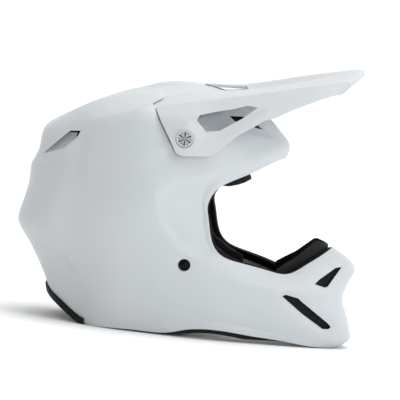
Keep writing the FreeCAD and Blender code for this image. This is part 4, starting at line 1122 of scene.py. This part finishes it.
def satin_plastic(name, color, roughness):
    """Painted or moulded plastic with a faint orange peel and uneven sheen."""
    made = material(name, color, roughness, Coat_Weight=0.12, Coat_Roughness=0.35)
    grain = texture(made, "Noise", Scale=2200.0, Detail=2.0)
    cloud = texture(made, "Noise", Scale=14.0, Detail=4.0)
    spread = node(made, "ShaderNodeMapRange")
    spread.inputs["To Min"].default_value = roughness - 0.04
    spread.inputs["To Max"].default_value = roughness + 0.06
    link(made, cloud, spread.inputs["Value"])
    link(made, spread.outputs["Result"], made.node_tree.nodes["Principled BSDF"].inputs["Roughness"])
    return relief(made, bump(made, grain, 0.08, 0.0002))


def rubber():
    made = material("black_rubber", (0.006, 0.006, 0.0065), 0.6, Specular_IOR_Level=0.18)
    grain = texture(made, "Noise", Scale=1500.0, Detail=3.0)
    return relief(made, bump(made, grain, 0.25, 0.0003))


def beaded_foam():
    made = material("beaded_foam", (0.012, 0.012, 0.013), 0.8, Specular_IOR_Level=0.2)
    beads = texture(made, "Voronoi", "Distance", Scale=330.0)
    return relief(made, bump(made, beads, 0.7, 0.0012))


def knitted_fabric():
    made = material("liner_knit", (0.009, 0.009, 0.01), 0.95, Sheen_Weight=0.04, Specular_IOR_Level=0.15)
    cells = texture(made, "Voronoi", "Distance", Scale=620.0)
    fuzz = texture(made, "Noise", Scale=900.0, Detail=4.0)
    return relief(made, bump(made, fuzz, 0.3, 0.0005, bump(made, cells, 0.6, 0.0008)))


def webbing():
    """Ribs across the strap and threads along it, laid out on the strap's own map."""
    made = material("strap_webbing", (0.01, 0.01, 0.011), 0.85, Sheen_Weight=0.04, Specular_IOR_Level=0.2)
    weave = node(made, "ShaderNodeUVMap")
    weave.uv_map = "weave"
    place = weave.outputs["UV"]
    ribs = texture(made, "Wave", where=place, Scale=180.0, Distortion=0.4, bands_direction="X")
    threads = texture(made, "Wave", where=place, Scale=320.0, Distortion=0.6, bands_direction="Y")
    return relief(made, bump(made, threads, 0.4, 0.0004, bump(made, ribs, 0.6, 0.0006)))


def vent_mesh():
    """Black plate with a grid of small holes."""
    made = material("vent_mesh", (0.005, 0.005, 0.005), 0.6, Specular_IOR_Level=0.15)
    edge = node(made, "ShaderNodeMapRange")
    edge.inputs["From Min"].default_value = 0.3
    edge.inputs["From Max"].default_value = 0.42
    link(made, texture(made, "Voronoi", "Distance", Scale=420.0, Randomness=0.0), edge.inputs["Value"])
    return relief(made, bump(made, edge.outputs["Result"], 1.0, 0.001))


def brushed_metal(name, color):
    made = material(name, color, 0.3, Metallic=1.0)
    lines = texture(made, "Noise", where=object_coordinates(made, (0.1, 1, 1)), Scale=900.0, Detail=3.0)
    return relief(made, bump(made, lines, 0.15, 0.0003))


def give(piece, made):
    piece.data.materials.clear()
    piece.data.materials.append(made)


def give_cad(name, made):
    """The CAD node keeps its shape and takes the material."""
    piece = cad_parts[name]
    for slot in piece.material_slots:
        slot.material = made


SHELL_PAINT = satin_plastic("shell_paint", (0.52, 0.55, 0.572), 0.45)
VISOR_PLASTIC = satin_plastic("visor_plastic", (0.515, 0.54, 0.56), 0.5)
SCREW_PLASTIC = satin_plastic("screw_plastic", (0.44, 0.47, 0.48), 0.5)
RUBBER = rubber()
FOAM = beaded_foam()
KNIT = knitted_fabric()
WEBBING = webbing()
MESH = vent_mesh()
BLACK_PLASTIC = satin_plastic("black_plastic", (0.02, 0.02, 0.02), 0.5)
GLOSS_BLACK = material("anchor_plastic", (0.002, 0.002, 0.003), 0.16, Specular_IOR_Level=0.12)
# Darker plastic for the floors of the screw's grip slots: painted shade where shadow falls in the slots
SLOT_SHADE = satin_plastic("screw_slot_painted_shade", (0.09, 0.1, 0.11), 0.6)
THREAD = material("sewing_thread", (0.03, 0.03, 0.032), 0.7)
LINER = satin_plastic("slip_plastic", (0.05, 0.05, 0.055), 0.4)
STEEL = brushed_metal("ring_steel", (0.55, 0.55, 0.55))
ALLOY = brushed_metal("nut_alloy", (0.6, 0.6, 0.6))

shell = build_shell()
give(shell, SHELL_PAINT)
for trim in build_trims():
    give(trim, RUBBER)
nose_wall = build_nose_guard()
give(nose_wall, RUBBER)
visor = build_visor(shell)
give(visor, VISOR_PLASTIC)

for vent in ("brow_mesh", "exhaust_mesh", "chin_slot_mesh", "chin_vent_mesh"):
    for side in ("right", "left"):
        give_cad(vent + "_" + side, MESH)
for name in ("crown_foam", "chin_foam"):
    give_cad(name, FOAM)
for pad in build_cushions():
    give(pad, KNIT)
for web, sewing in build_straps():
    give(web, WEBBING)
    thread = join(sewing)
    thread.name = web.name + "_thread"
    give(thread, THREAD)
    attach(thread, "helmet")
for name, level in (("upper", LOOP_HIGH), ("lower", LOOP_LOW)):
    ring = build_ring(level, name)
    give(ring, STEEL)
for side, name in ((-1, "right"), (1, "left")):
    anchor = build_anchor(side, name)
    give(anchor, GLOSS_BLACK)
    screw = build_screw(side, name)
    give(screw, SCREW_PLASTIC)
    # Faces on the slot floors take the painted shade material, darker than the screw's face
    screw.data.materials.append(SLOT_SHADE)
    for face in screw.data.polygons:
        across = math.hypot(face.center.x / MM - PIVOT[0], face.center.z / MM - PIVOT[2])
        in_shaded_slot = BOSS_OUTER + 0.15 < abs(face.center.y / MM) < SCREW_FACE - 0.5
        face.material_index = int(in_shaded_slot and across < 7.4)
    give_cad("cheek_plate_" + name, BLACK_PLASTIC)
    give_cad("visor_nut_" + name, ALLOY)
snap = build_snap()
give(snap, BLACK_PLASTIC)
give_cad("slip_liner", LINER)


# ---------------------------------------------------------------- floor, light and camera
def plane(name, size, place, turn=(0, 0, 0)):
    bpy.ops.mesh.primitive_plane_add(size=size, location=place, rotation=turn)
    made = bpy.context.object
    made.name = name
    return made


def studio_paper():
    """White paper, lit a little from behind away from the helmet so that its far part stays white."""
    made = material("floor_paper", (0.95, 0.95, 0.95), 0.95, Specular_IOR_Level=0.0)
    shader = made.node_tree.nodes["Principled BSDF"]
    away = node(made, "ShaderNodeVectorMath", operation="LENGTH")
    link(made, object_coordinates(made), away.inputs[0])
    glow = node(made, "ShaderNodeMapRange")
    glow.inputs["From Min"].default_value = 0.3
    glow.inputs["From Max"].default_value = 0.8
    glow.inputs["To Max"].default_value = 0.25
    link(made, away.outputs["Value"], glow.inputs["Value"])
    shader.inputs["Emission Color"].default_value = (1, 1, 1, 1)
    link(made, glow.outputs["Result"], shader.inputs["Emission Strength"])
    return made


floor = plane("floor", 14.0, (0, 0, 0))
give(floor, studio_paper())

WORLD_LEVEL = 0.62
WORLD_SLOPES = (("X", 0.2), ("Y", 0.5), ("Z", 0.3))


def build_world():
    """Pale studio, brighter above, behind and in front of the helmet than on the camera's side."""
    world = bpy.data.worlds.new("studio")
    bpy.context.scene.world = world
    world.use_nodes = True
    tree = world.node_tree
    place = tree.nodes.new("ShaderNodeTexCoord")
    split = tree.nodes.new("ShaderNodeSeparateXYZ")
    tree.links.new(place.outputs["Generated"], split.inputs["Vector"])
    total = None
    for axis, share in WORLD_SLOPES:
        scaled = tree.nodes.new("ShaderNodeMath")
        scaled.operation = "MULTIPLY_ADD"
        scaled.inputs[1].default_value = share
        tree.links.new(split.outputs[axis], scaled.inputs[0])
        if total is None:
            scaled.inputs[2].default_value = WORLD_LEVEL
        else:
            tree.links.new(total, scaled.inputs[2])
        total = scaled.outputs["Value"]
    tree.links.new(total, tree.nodes["Background"].inputs["Strength"])
    tree.nodes["Background"].inputs["Color"].default_value = (1, 1, 1, 1)


build_world()


def area_light(name, place, aim, size, power):
    lamp = bpy.data.lights.new(name, "AREA")
    lamp.shape = "DISK"
    lamp.size = size
    lamp.energy = power
    made = bpy.data.objects.new(name, lamp)
    bpy.context.scene.collection.objects.link(made)
    made.location = place
    made.rotation_euler = (Vector(aim) - Vector(place)).to_track_quat("-Z", "Y").to_euler()
    return made


area_light("top", (0.2, -0.1, 1.7), (0, 0, 0.1), 1.5, 14.5)
area_light("front", (1.7, -1.3, 0.8), (0, 0, 0.15), 0.9, 7.5)
area_light("side", (0.5, -2.0, 0.45), (0, 0, 0.15), 0.7, 7.5)

CAMERA_YAW = math.radians(1.4)       # towards the front of the helmet
CAMERA_RISE = math.radians(3.0)
CAMERA_ROLL = math.radians(6.5)
FIELD = 0.42                          # width of the view at the helmet's middle plane
LENS = 260.0
SENSOR = 36.0
TARGET = Vector((0.0093, 0, 0.1366))


def add_camera():
    data = bpy.data.cameras.new("camera")
    data.lens = LENS
    data.sensor_width = SENSOR
    data.clip_end = 50
    camera = bpy.data.objects.new("camera", data)
    bpy.context.scene.collection.objects.link(camera)
    level = math.cos(CAMERA_RISE)
    away = Vector((math.sin(CAMERA_YAW) * level, -math.cos(CAMERA_YAW) * level, math.sin(CAMERA_RISE)))
    right = Vector((math.cos(CAMERA_YAW), math.sin(CAMERA_YAW), 0))
    up = away.cross(right)
    turn = Matrix((right, up, away)).transposed() @ Matrix.Rotation(CAMERA_ROLL, 3, "Z")
    camera.matrix_world = Matrix.Translation(TARGET + away * (FIELD * LENS / SENSOR)) @ turn.to_4x4()
    bpy.context.scene.camera = camera


add_camera()
bpy.context.scene.view_settings.view_transform = "Standard"
